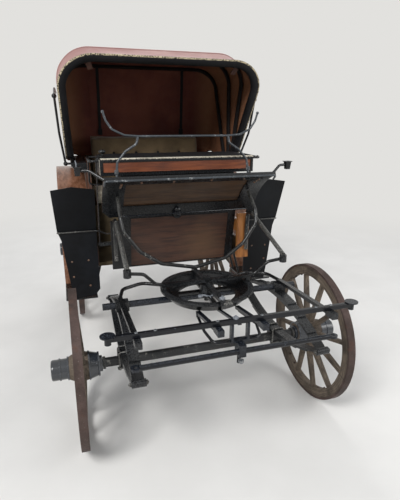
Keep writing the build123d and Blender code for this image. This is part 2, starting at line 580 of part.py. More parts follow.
# Uprights that rise from the arms and turn down in front of the planks
PLANK_W, PLANK_T = 80.0, 24.0
PLANK_LOW, PLANK_TOP = 800.0, 1105.0
PLANK_ARM_L = 120.0
PLANK_ARM_LOW, PLANK_ARM_TOP = 125.0, 45.0     # how far its edges lie below the plank's top
PLANK_Y = back(440)
UPRIGHT_R, UPRIGHT_BEND = 13.0, 30.0
UPRIGHT_X, UPRIGHT_Y = BOOT_HALF + 58, PLANK_Y - UPRIGHT_R - 1
UPRIGHT_LOW, UPRIGHT_KNEE, UPRIGHT_TOP, UPRIGHT_REACH = 860.0, 1000.0, 1120.0, 110.0
with BuildPart() as uprights:
    upright = [(ARM_FOOT[0], ARM_FOOT[1], ARM_FOOT[2] + ARM_BOSS_H / 2 + 1),
               (UPRIGHT_X, PLANK_Y - UPRIGHT_REACH, UPRIGHT_TOP),
               (UPRIGHT_X, UPRIGHT_Y - UPRIGHT_R - 1, UPRIGHT_TOP + 2),
               (UPRIGHT_X, UPRIGHT_Y, UPRIGHT_KNEE), (UPRIGHT_X, UPRIGHT_Y, UPRIGHT_LOW)]
    for side in (-1, 1):
        add(bent_rod([(side * x, y, z) for x, y, z in upright], UPRIGHT_R, UPRIGHT_BEND))
    add(top_bed.part, mode=Mode.SUBTRACT)
uprights.part.label = "uprights"
export_step(uprights.part, "parts/uprights.step")

# Toe board: a curved black frame with ears, its wooden boards and the rail on top
DASH_R, DASH_BEND = 6.0, 18.0
with BuildPart() as dash_rail:
    rail_end = (TOE_HALF, TOE_TOP[0] + 30, TOE_TOP[1] - 26)
    rail_corner = (TOE_HALF - 2, TOE_TOP[0] - 4, TOE_TOP[1] + 1)
    add(bent_rod([(-rail_end[0], *rail_end[1:]), (-rail_corner[0], *rail_corner[1:]), rail_corner, rail_end],
                 DASH_R, DASH_BEND))
dash_rail.part.label = "dash_rail"
export_step(dash_rail.part, "parts/dash_rail.step")


def toe_arc(depth):
    """The toe board's curve, sunk that share of the frame's thickness behind its front face."""
    points = [(place[0] + depth * shift[0], place[1] + depth * shift[1])
              for place, shift in zip((TOE_TOP, TOE_MID, TOE_LOW), TOE_SHIFTS)]
    return ThreePointArc(*points)


def toe_plate(half, near, far):
    """A curved plate between two depths of the toe board."""
    with BuildPart() as plate:
        with BuildSketch(Plane.YZ.offset(-half)):
            with BuildLine():
                front = toe_arc(near)
                rear = toe_arc(far)
                Line(front @ 0, rear @ 0)
                Line(front @ 1, rear @ 1)
            make_face()
        extrude(amount=2 * half)
    return plate.part


TOE_SHIFTS = ((7.0, 21.0), (14.0, 17.0), (20.0, 8.0))
TOE_WINDOW_HALF = BOOT_HALF - 3
TOE_WINDOW_LOW, TOE_WINDOW_TOP = 1193.0, 1347.0
TOE_EAR_LOW, TOE_EAR_CUT = TOE_LOW[1] - 8, 50.0
TOE_WOOD_GAP, TOE_WOOD_NEAR, TOE_WOOD_FAR = 1.0, 0.34, 0.9
TOE_CLEAR = 400.0              # cuts run this far through the toe board
window_middle = (TOE_WINDOW_LOW + TOE_WINDOW_TOP) / 2
window_height = TOE_WINDOW_TOP - TOE_WINDOW_LOW
with BuildPart() as toe_frame:
    add(toe_plate(TOE_HALF, 0, 1))
    with BuildSketch(Plane.XZ.offset(-TOE_LOW[0] - TOE_CLEAR / 8)):
        with BuildLine():
            Polyline((-TOE_HALF, TOE_TOP[1] + 36), (-TOE_HALF, TOE_EAR_LOW + TOE_EAR_CUT),
                     (TOE_EAR_CUT - TOE_HALF, TOE_EAR_LOW), (TOE_HALF - TOE_EAR_CUT, TOE_EAR_LOW),
                     (TOE_HALF, TOE_EAR_LOW + TOE_EAR_CUT), (TOE_HALF, TOE_TOP[1] + 36), close=True)
        make_face()
    extrude(amount=TOE_CLEAR, mode=Mode.INTERSECT)
    with BuildSketch(Plane.XZ.offset(-TOE_LOW[0] - TOE_CLEAR / 8)):
        with Locations((0, window_middle)):
            Rectangle(2 * TOE_WINDOW_HALF, window_height)
    extrude(amount=TOE_CLEAR, mode=Mode.SUBTRACT)
    add(dash_rail.part, mode=Mode.SUBTRACT)
toe_frame.part.label = "toe_frame"
export_step(toe_frame.part, "parts/toe_frame.step")

with BuildPart() as toe_wood:
    add(toe_plate(TOE_WINDOW_HALF - TOE_WOOD_GAP, TOE_WOOD_NEAR, TOE_WOOD_FAR))
    with BuildSketch(Plane.XZ.offset(-TOE_LOW[0] - TOE_CLEAR / 8)):
        with Locations((0, window_middle)):
            Rectangle(2 * (TOE_WINDOW_HALF - TOE_WOOD_GAP), window_height - TOE_WOOD_GAP)
    extrude(amount=TOE_CLEAR, mode=Mode.INTERSECT)

# Boot: hollow box under the driver's seat, with the framed board that closes its front
PANEL_T, PANEL_EDGE, PANEL_TOP_EDGE, PANEL_FOOT_EDGE = 21.0, 50.0, 16.0, 8.0
PANEL_RECESS, PANEL_BOARD, PANEL_GAP = 4.0, 9.0, 0.5
BOARD_PLAY = 0.2               # behind a let-in board
BOOT_INSET, BOOT_NECK = 6.0, 34.0
with BuildPart() as boot_box:
    boot_front = PANEL_T + 1
    outer = [(TOE_LOW[0] + boot_front, TOE_LOW[1]), (BOOT_FOOT[0] + boot_front, BOOT_FOOT[1]),
             (BOOT_BACK, BOOT_FOOT[1]), (BOOT_BACK, SEAT_LOW), (TOE_LOW[0] + BOOT_NECK, SEAT_LOW),
             (TOE_LOW[0] + BOOT_NECK - 4, TOE_LOW[1] + 14)]
    add(profile(outer, BOOT_INSET - BOOT_HALF, BOOT_HALF - BOOT_INSET))
    inner = [(TOE_LOW[0] + boot_front + WALL, TOE_LOW[1]),
             (BOOT_FOOT[0] + boot_front + WALL, BOOT_FOOT[1] + WALL),
             (BOOT_BACK - WALL, BOOT_FOOT[1] + WALL), (BOOT_BACK - WALL, SEAT_LOW - WALL),
             (TOE_LOW[0] + BOOT_NECK + WALL, SEAT_LOW - WALL)]
    add(profile(inner, BOOT_INSET + WALL - BOOT_HALF, BOOT_HALF - BOOT_INSET - WALL), mode=Mode.SUBTRACT)
boot_box.part.label = "boot_box"
export_step(boot_box.part, "parts/boot_box.step")

PANEL_SLOPE = (BOOT_FOOT[0] - TOE_LOW[0]) / (TOE_LOW[1] - BOOT_FOOT[1])


def panel_band(near, far, gap):
    """A leaning slab of the boot's front between two depths, kept off the frame by the gap."""
    high, low = PANEL_TOP_EDGE + gap, PANEL_FOOT_EDGE + gap
    top = (TOE_LOW[0] + PANEL_SLOPE * PANEL_TOP_EDGE, TOE_LOW[1] - high)
    foot = (BOOT_FOOT[0] - PANEL_SLOPE * PANEL_FOOT_EDGE, BOOT_FOOT[1] + low)
    return [(top[0] + near, top[1]), (foot[0] + near, foot[1]),
            (foot[0] + far, foot[1]), (top[0] + far, top[1])]


window_half = BOOT_HALF - PANEL_EDGE
board_far = PANEL_RECESS + PANEL_BOARD
with BuildPart() as boot_frame:
    panel = [TOE_LOW, BOOT_FOOT, (BOOT_FOOT[0] + PANEL_T, BOOT_FOOT[1]), (TOE_LOW[0] + PANEL_T, TOE_LOW[1])]
    add(profile(panel, -BOOT_HALF, BOOT_HALF))
    add(profile(panel_band(-PANEL_RECESS, board_far, 0), -window_half, window_half), mode=Mode.SUBTRACT)
boot_frame.part.label = "boot_frame"
export_step(boot_frame.part, "parts/boot_frame.step")

with BuildPart() as planks:
    for side in (-1, 1):
        add(block((side * BOOT_HALF, PLANK_Y, PLANK_LOW),
                  (side * (BOOT_HALF + PLANK_W), PLANK_Y + PLANK_T, PLANK_TOP)))
        add(block((side * BOOT_HALF, PLANK_Y, PLANK_TOP - PLANK_ARM_LOW),
                  (side * (BOOT_HALF + PLANK_T), PLANK_Y + PLANK_ARM_L, PLANK_TOP - PLANK_ARM_TOP)))
planks.part.label = "planks"
export_step(planks.part, "parts/planks.step")

# Driver's seat: a framed front board over a shallow box
SEAT_SIDE_EDGE, SEAT_EDGE, SEAT_BOARD_T, SEAT_BOARD_GAP = 18.0, 20.0, 10.0, 0.5
with BuildPart() as seat_frame:
    add(block((-SEAT_HALF, SEAT_FRONT, SEAT_LOW), (SEAT_HALF, SEAT_BACK, SEAT_TOP)))
    add(block((SEAT_SIDE_EDGE - SEAT_HALF, SEAT_FRONT - 1, SEAT_LOW + SEAT_EDGE),
              (SEAT_HALF - SEAT_SIDE_EDGE, SEAT_FRONT + SEAT_BOARD_T, SEAT_TOP - SEAT_EDGE)),
        mode=Mode.SUBTRACT)
    add(block((WALL - SEAT_HALF, SEAT_FRONT + SEAT_BOARD_T + WALL, SEAT_LOW - 1),
              (SEAT_HALF - WALL, SEAT_BACK - WALL, SEAT_TOP - WALL)), mode=Mode.SUBTRACT)
seat_frame.part.label = "seat_frame"
export_step(seat_frame.part, "parts/seat_frame.step")

with BuildPart() as wood_panels:
    add(toe_wood.part)
    add(profile(panel_band(PANEL_RECESS, board_far - BOARD_PLAY, PANEL_GAP),
                PANEL_GAP - window_half, window_half - PANEL_GAP))
    seat_board = (SEAT_HALF - SEAT_SIDE_EDGE - SEAT_BOARD_GAP, SEAT_EDGE + SEAT_BOARD_GAP)
    add(block((-seat_board[0], SEAT_FRONT + PANEL_RECESS, SEAT_LOW + seat_board[1]),
              (seat_board[0], SEAT_FRONT + SEAT_BOARD_T - BOARD_PLAY, SEAT_TOP - seat_board[1])))
wood_panels.part.label = "wood_panels"
export_step(wood_panels.part, "parts/wood_panels.step")

SQUAB_T, SQUAB_INSET, SQUAB_ROUND = 8.0, 14.0, 5.0
with BuildPart() as driver_squab:
    add(block((SQUAB_INSET - SEAT_HALF, SEAT_FRONT + SQUAB_INSET, SEAT_TOP + SEAT_GAP),
              (SEAT_HALF - SQUAB_INSET, SEAT_BACK - SQUAB_INSET, SEAT_TOP + SEAT_GAP + SQUAB_T)))
    fillet(driver_squab.edges().group_by(Axis.Z)[-1], SQUAB_ROUND)
driver_squab.part.label = "driver_squab"
export_step(driver_squab.part, "parts/driver_squab.step")

RAIL_SPREAD, RAIL_R, RAIL_BEND = 57.0, 7.0, 24.0
RAIL_HALF, RAIL_Z = SEAT_HALF + RAIL_SPREAD, SEAT_TOP - 12
RAIL_LEG_Z, RAIL_KNOB_R, RAIL_END = 1300.0, 11.0, 22.0
RAIL_MIDDLE = (SEAT_FRONT + SEAT_BACK) / 2
with BuildPart() as seat_rails:
    add(bent_rod([(SEAT_HALF, SEAT_FRONT + RAIL_END, RAIL_Z), (RAIL_HALF, SEAT_FRONT + RAIL_END, RAIL_Z),
                  (RAIL_HALF, SEAT_BACK - RAIL_END, RAIL_Z), (SEAT_HALF, SEAT_BACK - RAIL_END, RAIL_Z)],
                 RAIL_R, RAIL_BEND))
    add(bent_rod([(RAIL_HALF, RAIL_MIDDLE, RAIL_Z), (RAIL_HALF, RAIL_MIDDLE, RAIL_LEG_Z),
                  (BOOT_HALF - BOOT_INSET, RAIL_MIDDLE, RAIL_LEG_Z)], RAIL_R - 1, RAIL_BEND))
    add(ball((RAIL_HALF, SEAT_FRONT + RAIL_END + RAIL_BEND + RAIL_KNOB_R, RAIL_Z), RAIL_KNOB_R))
    mirror(about=Plane.YZ)
seat_rails.part.label = "seat_rails"
export_step(seat_rails.part, "parts/seat_rails.step")

# Rein rail with scrolled ends on two swept legs
REIN_Y, REIN_R, REIN_BEND = back(400), 6.0, 30.0
REIN_LEG_R, REIN_LEG_BEND, REIN_TIP_R = 7.0, 34.0, 9.0
REIN_COLLAR_R, REIN_COLLAR_H = 12.0, 22.0
REIN_HALF = ((466, 1736), (452, 1690), (420, 1642), (352, 1610), (276, 1604))
REIN_LEG = (
    # half width, distance ahead of the rail, height
    (276, 0, 1602),
    (284, 0, 1562),
    (350, 0, 1520),
    (400, 6, 1462),
    (408, 16, 1400),
    (408, 26, 1290),
)
with BuildPart() as rein_rail:
    half = [(x, REIN_Y, z) for x, z in REIN_HALF]
    add(bent_rod([(-x, y, z) for x, y, z in half] + half[::-1], REIN_R, REIN_BEND))
    for side in (-1, 1):
        add(bent_rod([(side * x, REIN_Y - y, z) for x, y, z in REIN_LEG], REIN_LEG_R, REIN_LEG_BEND))
        collar = REIN_LEG[-2]
        add(post((side * collar[0], REIN_Y - collar[1] + 2, collar[2] - 4), REIN_COLLAR_R, REIN_COLLAR_H))
        add(ball((side * half[0][0], REIN_Y, half[0][2]), REIN_TIP_R))
    add(toe_frame.part, mode=Mode.SUBTRACT)
rein_rail.part.label = "rein_rail"
export_step(rein_rail.part, "parts/rein_rail.step")

# Brake lever by the driver's right hand: it clears the guard below and the seat above
BRAKE_R, BRAKE_BEND, BRAKE_KNOB_R, BRAKE_STUD = 9.0, 30.0, 19.0, 30.0
BRAKE_CLEAR, BRAKE_SEAT_CLEAR = 10.0, 8.0
BRAKE_LOW_X = GUARD_IN - BRAKE_CLEAR - BRAKE_R
BRAKE_HIGH_X = SEAT_HALF + BRAKE_SEAT_CLEAR + BRAKE_R
BRAKE_FOOT = (back(700), 890.0)
BRAKE_KNOB = (34 - BRAKE_HIGH_X, back(560), 1532.0)
with BuildPart() as brake_lever:
    add(bent_rod([(-BRAKE_LOW_X, *BRAKE_FOOT), (-BRAKE_LOW_X, back(600), 1300),
                  (-BRAKE_HIGH_X, back(592), 1350), (2 - BRAKE_HIGH_X, back(575), 1480),
                  (BRAKE_KNOB[0] - 2, BRAKE_KNOB[1], BRAKE_KNOB[2] - 8)], BRAKE_R, BRAKE_BEND))
    add(ball(BRAKE_KNOB, BRAKE_KNOB_R))
    add(block((BOOT_INSET - BOOT_HALF, BRAKE_FOOT[0] - BRAKE_STUD / 2, BRAKE_FOOT[1] - BRAKE_R),
              (-BRAKE_LOW_X - BRAKE_R, BRAKE_FOOT[0] + BRAKE_STUD / 2, BRAKE_FOOT[1] - BRAKE_R + BRAKE_STUD)))
brake_lever.part.label = "brake_lever"
export_step(brake_lever.part, "parts/brake_lever.step")

# Lamp sockets on their arms
LAMP_HALF, LAMP_Y = 628.0, back(282)
LAMP_LOW, LAMP_TOP = 1405.0, 1450.0
LAMP_FOOT_W, LAMP_MOUTH_W, LAMP_PLATE_W, LAMP_PLATE_T, LAMP_BORE_W = 26.0, 34.0, 44.0, 4.0, 20.0
LAMP_ARM_R, LAMP_ARM_BEND, LAMP_ARM_Z, LAMP_FLOOR_T = 8.0, 40.0, LAMP_TOP - 18, 8.0
with BuildPart() as lamp_brackets:
    for side in (-1, 1):
        with BuildSketch(Plane(origin=(side * LAMP_HALF, LAMP_Y, LAMP_LOW))):
            Rectangle(LAMP_FOOT_W, LAMP_FOOT_W)
        with BuildSketch(Plane(origin=(side * LAMP_HALF, LAMP_Y, LAMP_TOP))):
            Rectangle(LAMP_MOUTH_W, LAMP_MOUTH_W)
        loft()
        with BuildSketch(Plane(origin=(side * LAMP_HALF, LAMP_Y, LAMP_TOP))):
            Rectangle(LAMP_PLATE_W, LAMP_PLATE_W)
        extrude(amount=LAMP_PLATE_T)
        with BuildSketch(Plane(origin=(side * LAMP_HALF, LAMP_Y, LAMP_LOW + LAMP_FLOOR_T))):
            Rectangle(LAMP_BORE_W, LAMP_BORE_W)
        extrude(amount=LAMP_TOP + LAMP_PLATE_T + 1 - LAMP_LOW - LAMP_FLOOR_T, mode=Mode.SUBTRACT)
        add(bent_rod([(side * (LAMP_HALF - LAMP_FOOT_W / 2), LAMP_Y, LAMP_ARM_Z),
                      (side * (LAMP_HALF - 60), back(270), LAMP_ARM_Z),
                      (side * (TOE_HALF - 6), TOE_TOP[0] + 42, TOE_TOP[1])], LAMP_ARM_R, LAMP_ARM_BEND))
    add(toe_frame.part, mode=Mode.SUBTRACT)
    add(dash_rail.part, mode=Mode.SUBTRACT)
lamp_brackets.part.label = "lamp_brackets"
export_step(lamp_brackets.part, "parts/lamp_brackets.step")

# Passenger tub: floor, curved sides and back, open in front and on top
TUB_FRONT, TUB_LOW = BOOT_BACK, FLOOR_Z - FLOOR_T
FLOOR_END, CURVE_MID = (ahead(520), TUB_LOW), (ahead(360), 820)
ARM_TOP, ARM_MID, ARM_LOW = (ahead(590), ELBOW_Z), (ahead(685), 1250), (ahead(715), 1000)
SILL_MID = (ahead(755), 885)
BACK_WALL = 24.0
CUT_OVER = 60.0                # the inside's cut runs this far past the open top
with BuildPart() as tub:
    with BuildSketch(Plane.YZ.offset(-TUB_HALF)):
        with BuildLine():
            Polyline((TUB_FRONT, ENTRY_Z), (TUB_FRONT, TUB_LOW), FLOOR_END)
            ThreePointArc(FLOOR_END, CURVE_MID, TUB_BACK_LOW)
            Polyline(TUB_BACK_LOW, TUB_BACK_TOP, ARM_TOP)
            ThreePointArc(ARM_TOP, ARM_MID, ARM_LOW)
            ThreePointArc(ARM_LOW, SILL_MID, (TUB_FRONT, ENTRY_Z))
        make_face()
    extrude(amount=2 * TUB_HALF)
    with BuildSketch(Plane.YZ.offset(WALL - TUB_HALF)):
        inner_end = (FLOOR_END[0] - 10, FLOOR_Z)
        inner_low = (TUB_BACK_LOW[0] - BACK_WALL, TUB_BACK_LOW[1] + 14)
        inner_top = (TUB_BACK_TOP[0] - 2, ELBOW_Z + CUT_OVER)
        with BuildLine():
            Polyline((TUB_FRONT - 1, ELBOW_Z + CUT_OVER), (TUB_FRONT - 1, FLOOR_Z), inner_end)
            ThreePointArc(inner_end, (CURVE_MID[0] - 15, CURVE_MID[1] + FLOOR_T), inner_low)
            Polyline(inner_low, inner_top, (TUB_FRONT - 1, ELBOW_Z + CUT_OVER))
        make_face()
    extrude(amount=2 * (TUB_HALF - WALL), mode=Mode.SUBTRACT)
tub.part.label = "tub"
export_step(tub.part, "parts/tub.step")

# Cross bed that rests the back of the tub on the rear springs
REAR_BED_T, REAR_BED_W = 36.0, 40.0
REAR_BED_HALF = REAR_SPRING_HALF_GAUGE + LEAF_W
with BuildPart() as rear_bed:
    add(block((-REAR_BED_HALF, REAR_AXLE_Y - REAR_BED_W / 2, REAR_BED_Z),
              (REAR_BED_HALF, REAR_AXLE_Y + REAR_BED_W / 2, REAR_BED_Z + REAR_BED_T)))
    for side in (-1, 1):
        near = side * (REAR_SPRING_HALF_GAUGE - LEAF_W / 2)
        far = side * (REAR_SPRING_HALF_GAUGE + LEAF_W / 2)
        add(block((near, TUB_BACK_LOW[0] - 10, REAR_BED_Z + REAR_BED_T),
                  (far, REAR_AXLE_Y + REAR_BED_W / 2, REAR_BED_Z + 2 * REAR_BED_T)))
        add(block((near, TUB_BACK_LOW[0] + 4, REAR_BED_Z + 10),
                  (far, REAR_AXLE_Y, REAR_BED_Z + 2 * REAR_BED_T)))
    add(tub.part, mode=Mode.SUBTRACT)
rear_bed.part.label = "rear_bed"
export_step(rear_bed.part, "parts/rear_bed.step")

# Elbow boards that widen the tub to the hood
ELBOW_SPREAD, ELBOW_DEPTH, ELBOW_EDGE = 109.0, 69.0, 24.0
ELBOW_HALF = TUB_HALF + ELBOW_SPREAD
with BuildPart() as elbows:
    for side in (-1, 1):
        with BuildSketch(Plane.XZ.offset(-ARM_TOP[0])):
            with BuildLine():
                Polyline((side * TUB_HALF, ELBOW_Z - ELBOW_DEPTH), (side * ELBOW_HALF, ELBOW_Z - ELBOW_EDGE),
                         (side * ELBOW_HALF, ELBOW_Z), (side * TUB_HALF, ELBOW_Z), close=True)
            make_face()
        extrude(amount=ARM_TOP[0] - TUB_BACK_TOP[0] + 10)
elbows.part.label = "elbows"
export_step(elbows.part, "parts/elbows.step")

# Passengers' seat: a boarded riser, its cushion and the quilted back
SEAT_BOARD_Z, RISER_T, BOARD_T = 1075.0, 18.0, 17.0
SEAT_FIT = 1.0
CUSHION_H, CUSHION_ROUND, CUSHION_NOSE, CUSHION_SPARE = 114.0, 30.0, 20.0, 15.0
BACK_SPARE, BACK_TOP_Z, BACK_ROUND = 35.0, 1572.0, 16.0
with BuildPart() as seat_base:
    riser_half = TUB_HALF - WALL - SEAT_FIT
    add(block((-riser_half, RISER_Y, FLOOR_Z + SEAT_FIT), (riser_half, RISER_Y + RISER_T, SEAT_BOARD_Z)))
    add(block((-riser_half, RISER_Y, SEAT_BOARD_Z - BOARD_T), (riser_half, TUB_BACK_LOW[0], SEAT_BOARD_Z)))
seat_base.part.label = "seat_base"
export_step(seat_base.part, "parts/seat_base.step")

with BuildPart() as seat_cushion:
    cushion_half = TUB_HALF - WALL - CUSHION_SPARE
    cushion_low = SEAT_BOARD_Z + SEAT_FIT
    add(block((-cushion_half, RISER_Y - CUSHION_NOSE, cushion_low),
              (cushion_half, ahead(140), cushion_low + CUSHION_H)))
    fillet(seat_cushion.edges().filter_by(Axis.X), CUSHION_ROUND)
seat_cushion.part.label = "seat_cushion"
export_step(seat_cushion.part, "parts/seat_cushion.step")

with BuildPart() as seat_back:
    back_half = TUB_HALF - WALL - BACK_SPARE
    back_low = cushion_low + CUSHION_H + 2
    shoulder_z = BACK_TOP_Z - 12
    back_profile = [(ahead(155), back_low), (ahead(50), back_low), (ahead(-62), shoulder_z),
                    (ahead(0), BACK_TOP_Z), (ahead(50), shoulder_z)]
    add(profile(back_profile, -back_half, back_half))
    fillet(seat_back.edges().filter_by(Axis.X).group_by(Axis.Z)[-1], BACK_ROUND)
seat_back.part.label = "seat_back"
export_step(seat_back.part, "parts/seat_back.step")

# Hood: leather stretched over four bows, open in front and below
HOOD_SECTIONS = (
    # foot (ahead, z), crown (ahead, z), spread over the tub low and at the shoulder, corner radius
    ((510, 1418), (930, 2072), 134, 152, 228),
    ((455, 1402), (590, 2160), 124, 156, 228),
    ((400, 1398), (250, 2185), 118, 154, 215),
    ((300, 1398), (-90, 2130), 113, 135, 190),
    ((200, 1398), (-180, 1420), 105, 107, 90),
)
HOOD_SINK = 30.0               # the inside's cut runs this far below the hem


def bow_plane(section, sink=0.0):
    """The leaning plane of one hood section: X along the section's width, Y up along it."""
    low, top = section[0], section[1]
    lean_y, lean_z = low[0] - top[0], top[1] - low[1]
    height = hypot(lean_y, lean_z)
    origin = (0, ahead(low[0]) - sink * lean_y / height, low[1] - sink * lean_z / height)
    normal = (0, -lean_z / height, lean_y / height)
    return Plane(origin=origin, x_dir=(1, 0, 0), z_dir=normal), height


def arch_outline(section, height, inset, sink=0.0):
    """One hood section: splayed sides, round shoulders and a flat crown."""
    low_half, high_half = TUB_HALF + section[2] - inset, TUB_HALF + section[3] - inset
    corner = section[4] - inset
    crown = height + sink - inset
    shoulder = crown - corner
    with BuildLine() as outline:
        Line((-low_half, 0), (-high_half, shoulder))
        RadiusArc((-high_half, shoulder), (-high_half + corner, crown), corner)
        Line((-high_half + corner, crown), (high_half - corner, crown))
        RadiusArc((high_half - corner, crown), (high_half, shoulder), corner)
        Line((high_half, shoulder), (low_half, 0))
        Line((low_half, 0), (-low_half, 0))
    return outline.line


def hood_loft(inset, sink, forward):
    """A ruled solid through the hood sections, shrunk by the inset and carried past the mouth."""
    with BuildPart() as body:
        for index, section in enumerate(HOOD_SECTIONS):
            plane, height = bow_plane(section, sink)
            if index == 0 and forward:
                plane = plane.offset(forward)
            with BuildSketch(plane):
                with BuildLine():
                    add(arch_outline(section, height, inset, sink))
                make_face()
        loft(ruled=True)
    return body.part


with BuildPart() as hood_leather:
    add(hood_loft(0, 0, 0))
    add(hood_loft(HOOD_T, HOOD_SINK, HOOD_T / 2), mode=Mode.SUBTRACT)
hood_leather.part.label = "hood_leather"
export_step(hood_leather.part, "parts/hood_leather.step")

BOW_T, BOW_W, BOW_GAP = 18.0, 30.0, 18.0
BOW_SHIFTS = (-BOW_W, -BOW_W / 2, -BOW_W / 2, 0.0)
BOW_CLEAR, BOW_TRIM = 2000.0, 200.0      # a cut wider than the hood, and deeper than the bows' ends
with BuildPart() as hood_bows:
    for section, shift in zip(HOOD_SECTIONS, BOW_SHIFTS):
        plane, height = bow_plane(section)
        with BuildSketch(plane.offset(shift)):
            with BuildLine():
                add(arch_outline(section, height, BOW_GAP))
            make_face()
            with BuildLine():
                add(arch_outline(section, height, BOW_GAP + BOW_T))
            make_face(mode=Mode.SUBTRACT)
        extrude(amount=BOW_W)
    add(block((-BOW_CLEAR / 2, ARM_TOP[0] - BOW_CLEAR / 2, ELBOW_Z - BOW_TRIM),
              (BOW_CLEAR / 2, ARM_TOP[0] + BOW_CLEAR, ELBOW_Z + 1)), mode=Mode.SUBTRACT)
    add(hood_leather.part, mode=Mode.SUBTRACT)
hood_bows.part.label = "hood_bows"
export_step(hood_bows.part, "parts/hood_bows.step")

# Jointed outside irons of the hood, from a stud in the elbow board to the middle bow
IRON_R, IRON_ARM_R, IRON_KNOB_R, IRON_BEND = 8.0, 7.0, 16.0, 120.0
IRON_PIVOT = (ELBOW_HALF + 36, ahead(500), ELBOW_Z - ELBOW_EDGE / 2)
IRON_KNEE = (TUB_HALF + 181, ahead(700), 1840)
with BuildPart() as hood_irons:
    for side in (-1, 1):
        pivot, knee = [(side * x, y, z) for x, y, z in (IRON_PIVOT, IRON_KNEE)]
        add(bent_rod([(side * (ELBOW_HALF - 10), pivot[1], pivot[2]), pivot], IRON_R))
        add(ball(pivot, IRON_KNOB_R))
        add(bent_rod([pivot, (side * (TUB_HALF + 170), ahead(640), 1600), knee], IRON_R, IRON_BEND))
        add(bent_rod([knee, (side * (TUB_HALF + 177), ahead(520), 1900),
                      (side * (TUB_HALF + 171), ahead(300), 1880)], IRON_ARM_R, IRON_BEND))
        add(ball(knee, IRON_KNOB_R))
    add(hood_leather.part, mode=Mode.SUBTRACT)
    add(elbows.part, mode=Mode.SUBTRACT)
hood_irons.part.label = "hood_irons"
export_step(hood_irons.part, "parts/hood_irons.step")

# Wings over the rear wheels, upright guards in front of them, and the steps between
GUARD_FOOT, GUARD_KNEE, GUARD_TOP = (back(672), STEP_Z - 2), (back(668), 1000), (back(578), 1300)
WING_IN, WING_OUT = TUB_HALF + 6, REAR_HALF_TRACK + 107
GUARD_BAND = 300.0             # the leaning plate's blank, wider than the guard
GUARD_LIFTS = (0.0, 2.0, 3.0)  # of the back edge's corners over the front edge's
GUARD_OUTLINE = (
    # half width, height, from the inner top corner down and round
    (GUARD_IN, 1282),
    (GUARD_IN, STEP_Z + 58),
    (GUARD_IN + 33, STEP_Z + 13),
    (WING_OUT - 55, STEP_Z),
    (WING_OUT - 38, 650),
    (WING_OUT - 5, 946),
    (WING_OUT + 17, 1010),
    (WING_OUT + 31, 1284),
    (WING_OUT - 90, 1302),
)
STEP_T, STEP_ROD_R, STEP_INSET, STEP_ROD_END, STEP_ROD_LEAN = 12.0, 8.0, 11.0, 40.0, 30.0
WING_FOOT_Y = REAR_AXLE_Y - (WING_R + WING_T) * cos(radians(WING_START))
STEP_FRONT, STEP_BACK = GUARD_FOOT[0] + GUARD_T + SEAT_GAP, WING_FOOT_Y - SEAT_GAP
for side_name, side in SIDES:
    with BuildPart() as wing:
        with BuildSketch(Plane.YZ.offset(side * WING_IN)):
            with BuildLine():
                arcs = []
                for r in (WING_R, WING_R + WING_T):
                    points = [(REAR_AXLE_Y - r * cos(radians(a)), REAR_WHEEL_R + r * sin(radians(a)))
                              for a in (WING_START, WING_CREST, WING_TAIL)]
                    arcs.append(ThreePointArc(*points))
                Line(arcs[0] @ 0, arcs[1] @ 0)
                Line(arcs[0] @ 1, arcs[1] @ 1)
            make_face()
        extrude(amount=side * (WING_OUT - WING_IN))
    wing.part.label = f"wing_{side_name}"
    export_step(wing.part, f"parts/wing_{side_name}.step")

    with BuildPart() as guard:
        front_edge = [GUARD_FOOT, GUARD_KNEE, GUARD_TOP]
        rear_edge = [(y + GUARD_T, z + lift) for (y, z), lift in zip(front_edge, GUARD_LIFTS)]
        add(profile(front_edge + rear_edge[::-1], side * (WING_OUT - GUARD_BAND),
                    side * (WING_OUT + GUARD_T * 5)))
        with BuildSketch(Plane.XZ.offset(-GUARD_FOOT[0] - 4 * GUARD_T)):
            with BuildLine():
                Polyline(*[(side * x, z) for x, z in GUARD_OUTLINE], close=True)
            make_face()
        extrude(amount=GUARD_BAND, mode=Mode.INTERSECT)
    guard.part.label = f"guard_{side_name}"
    export_step(guard.part, f"parts/guard_{side_name}.step")

with BuildPart() as steps:
    for side in (-1, 1):
        add(block((side * (TUB_HALF + STEP_INSET), STEP_FRONT, STEP_Z - STEP_T),
                  (side * WING_OUT, STEP_BACK, STEP_Z)))
        for y in (TUB_FRONT + STEP_ROD_END, STEP_BACK - STEP_ROD_END):
            add(bent_rod([(side * (TUB_HALF + 2 * STEP_INSET), y, STEP_Z - STEP_T / 2),
                          (side * (TUB_HALF - STEP_ROD_LEAN), y, TUB_LOW)], STEP_ROD_R))
    add(tub.part, mode=Mode.SUBTRACT)
steps.part.label = "steps"
export_step(steps.part, "parts/steps.step")

GUARD_STRAP_R, GUARD_STRAP_BEND = 5.0, 40.0
with BuildPart() as guard_straps:
    strap_y = GUARD_KNEE[0] - GUARD_STRAP_R - SEAT_GAP
    for side in (-1, 1):
        add(bent_rod([(side * (WING_OUT + 19), strap_y, GUARD_KNEE[1]),
                      (side * (GUARD_IN - 7), strap_y, GUARD_KNEE[1]),
                      (side * (BOOT_HALF + PLANK_W + 15), PLANK_Y + PLANK_ARM_L, GUARD_KNEE[1]),
                      (side * (BOOT_HALF + PLANK_W - 5), PLANK_Y + PLANK_T / 2, PLANK_TOP - 75)],
                     GUARD_STRAP_R, GUARD_STRAP_BEND))
    add(planks.part, mode=Mode.SUBTRACT)
guard_straps.part.label = "guard_straps"
export_step(guard_straps.part, "parts/guard_straps.step")
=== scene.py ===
import math
import random

import bmesh
import bpy
from mathutils import Matrix, Vector, noise


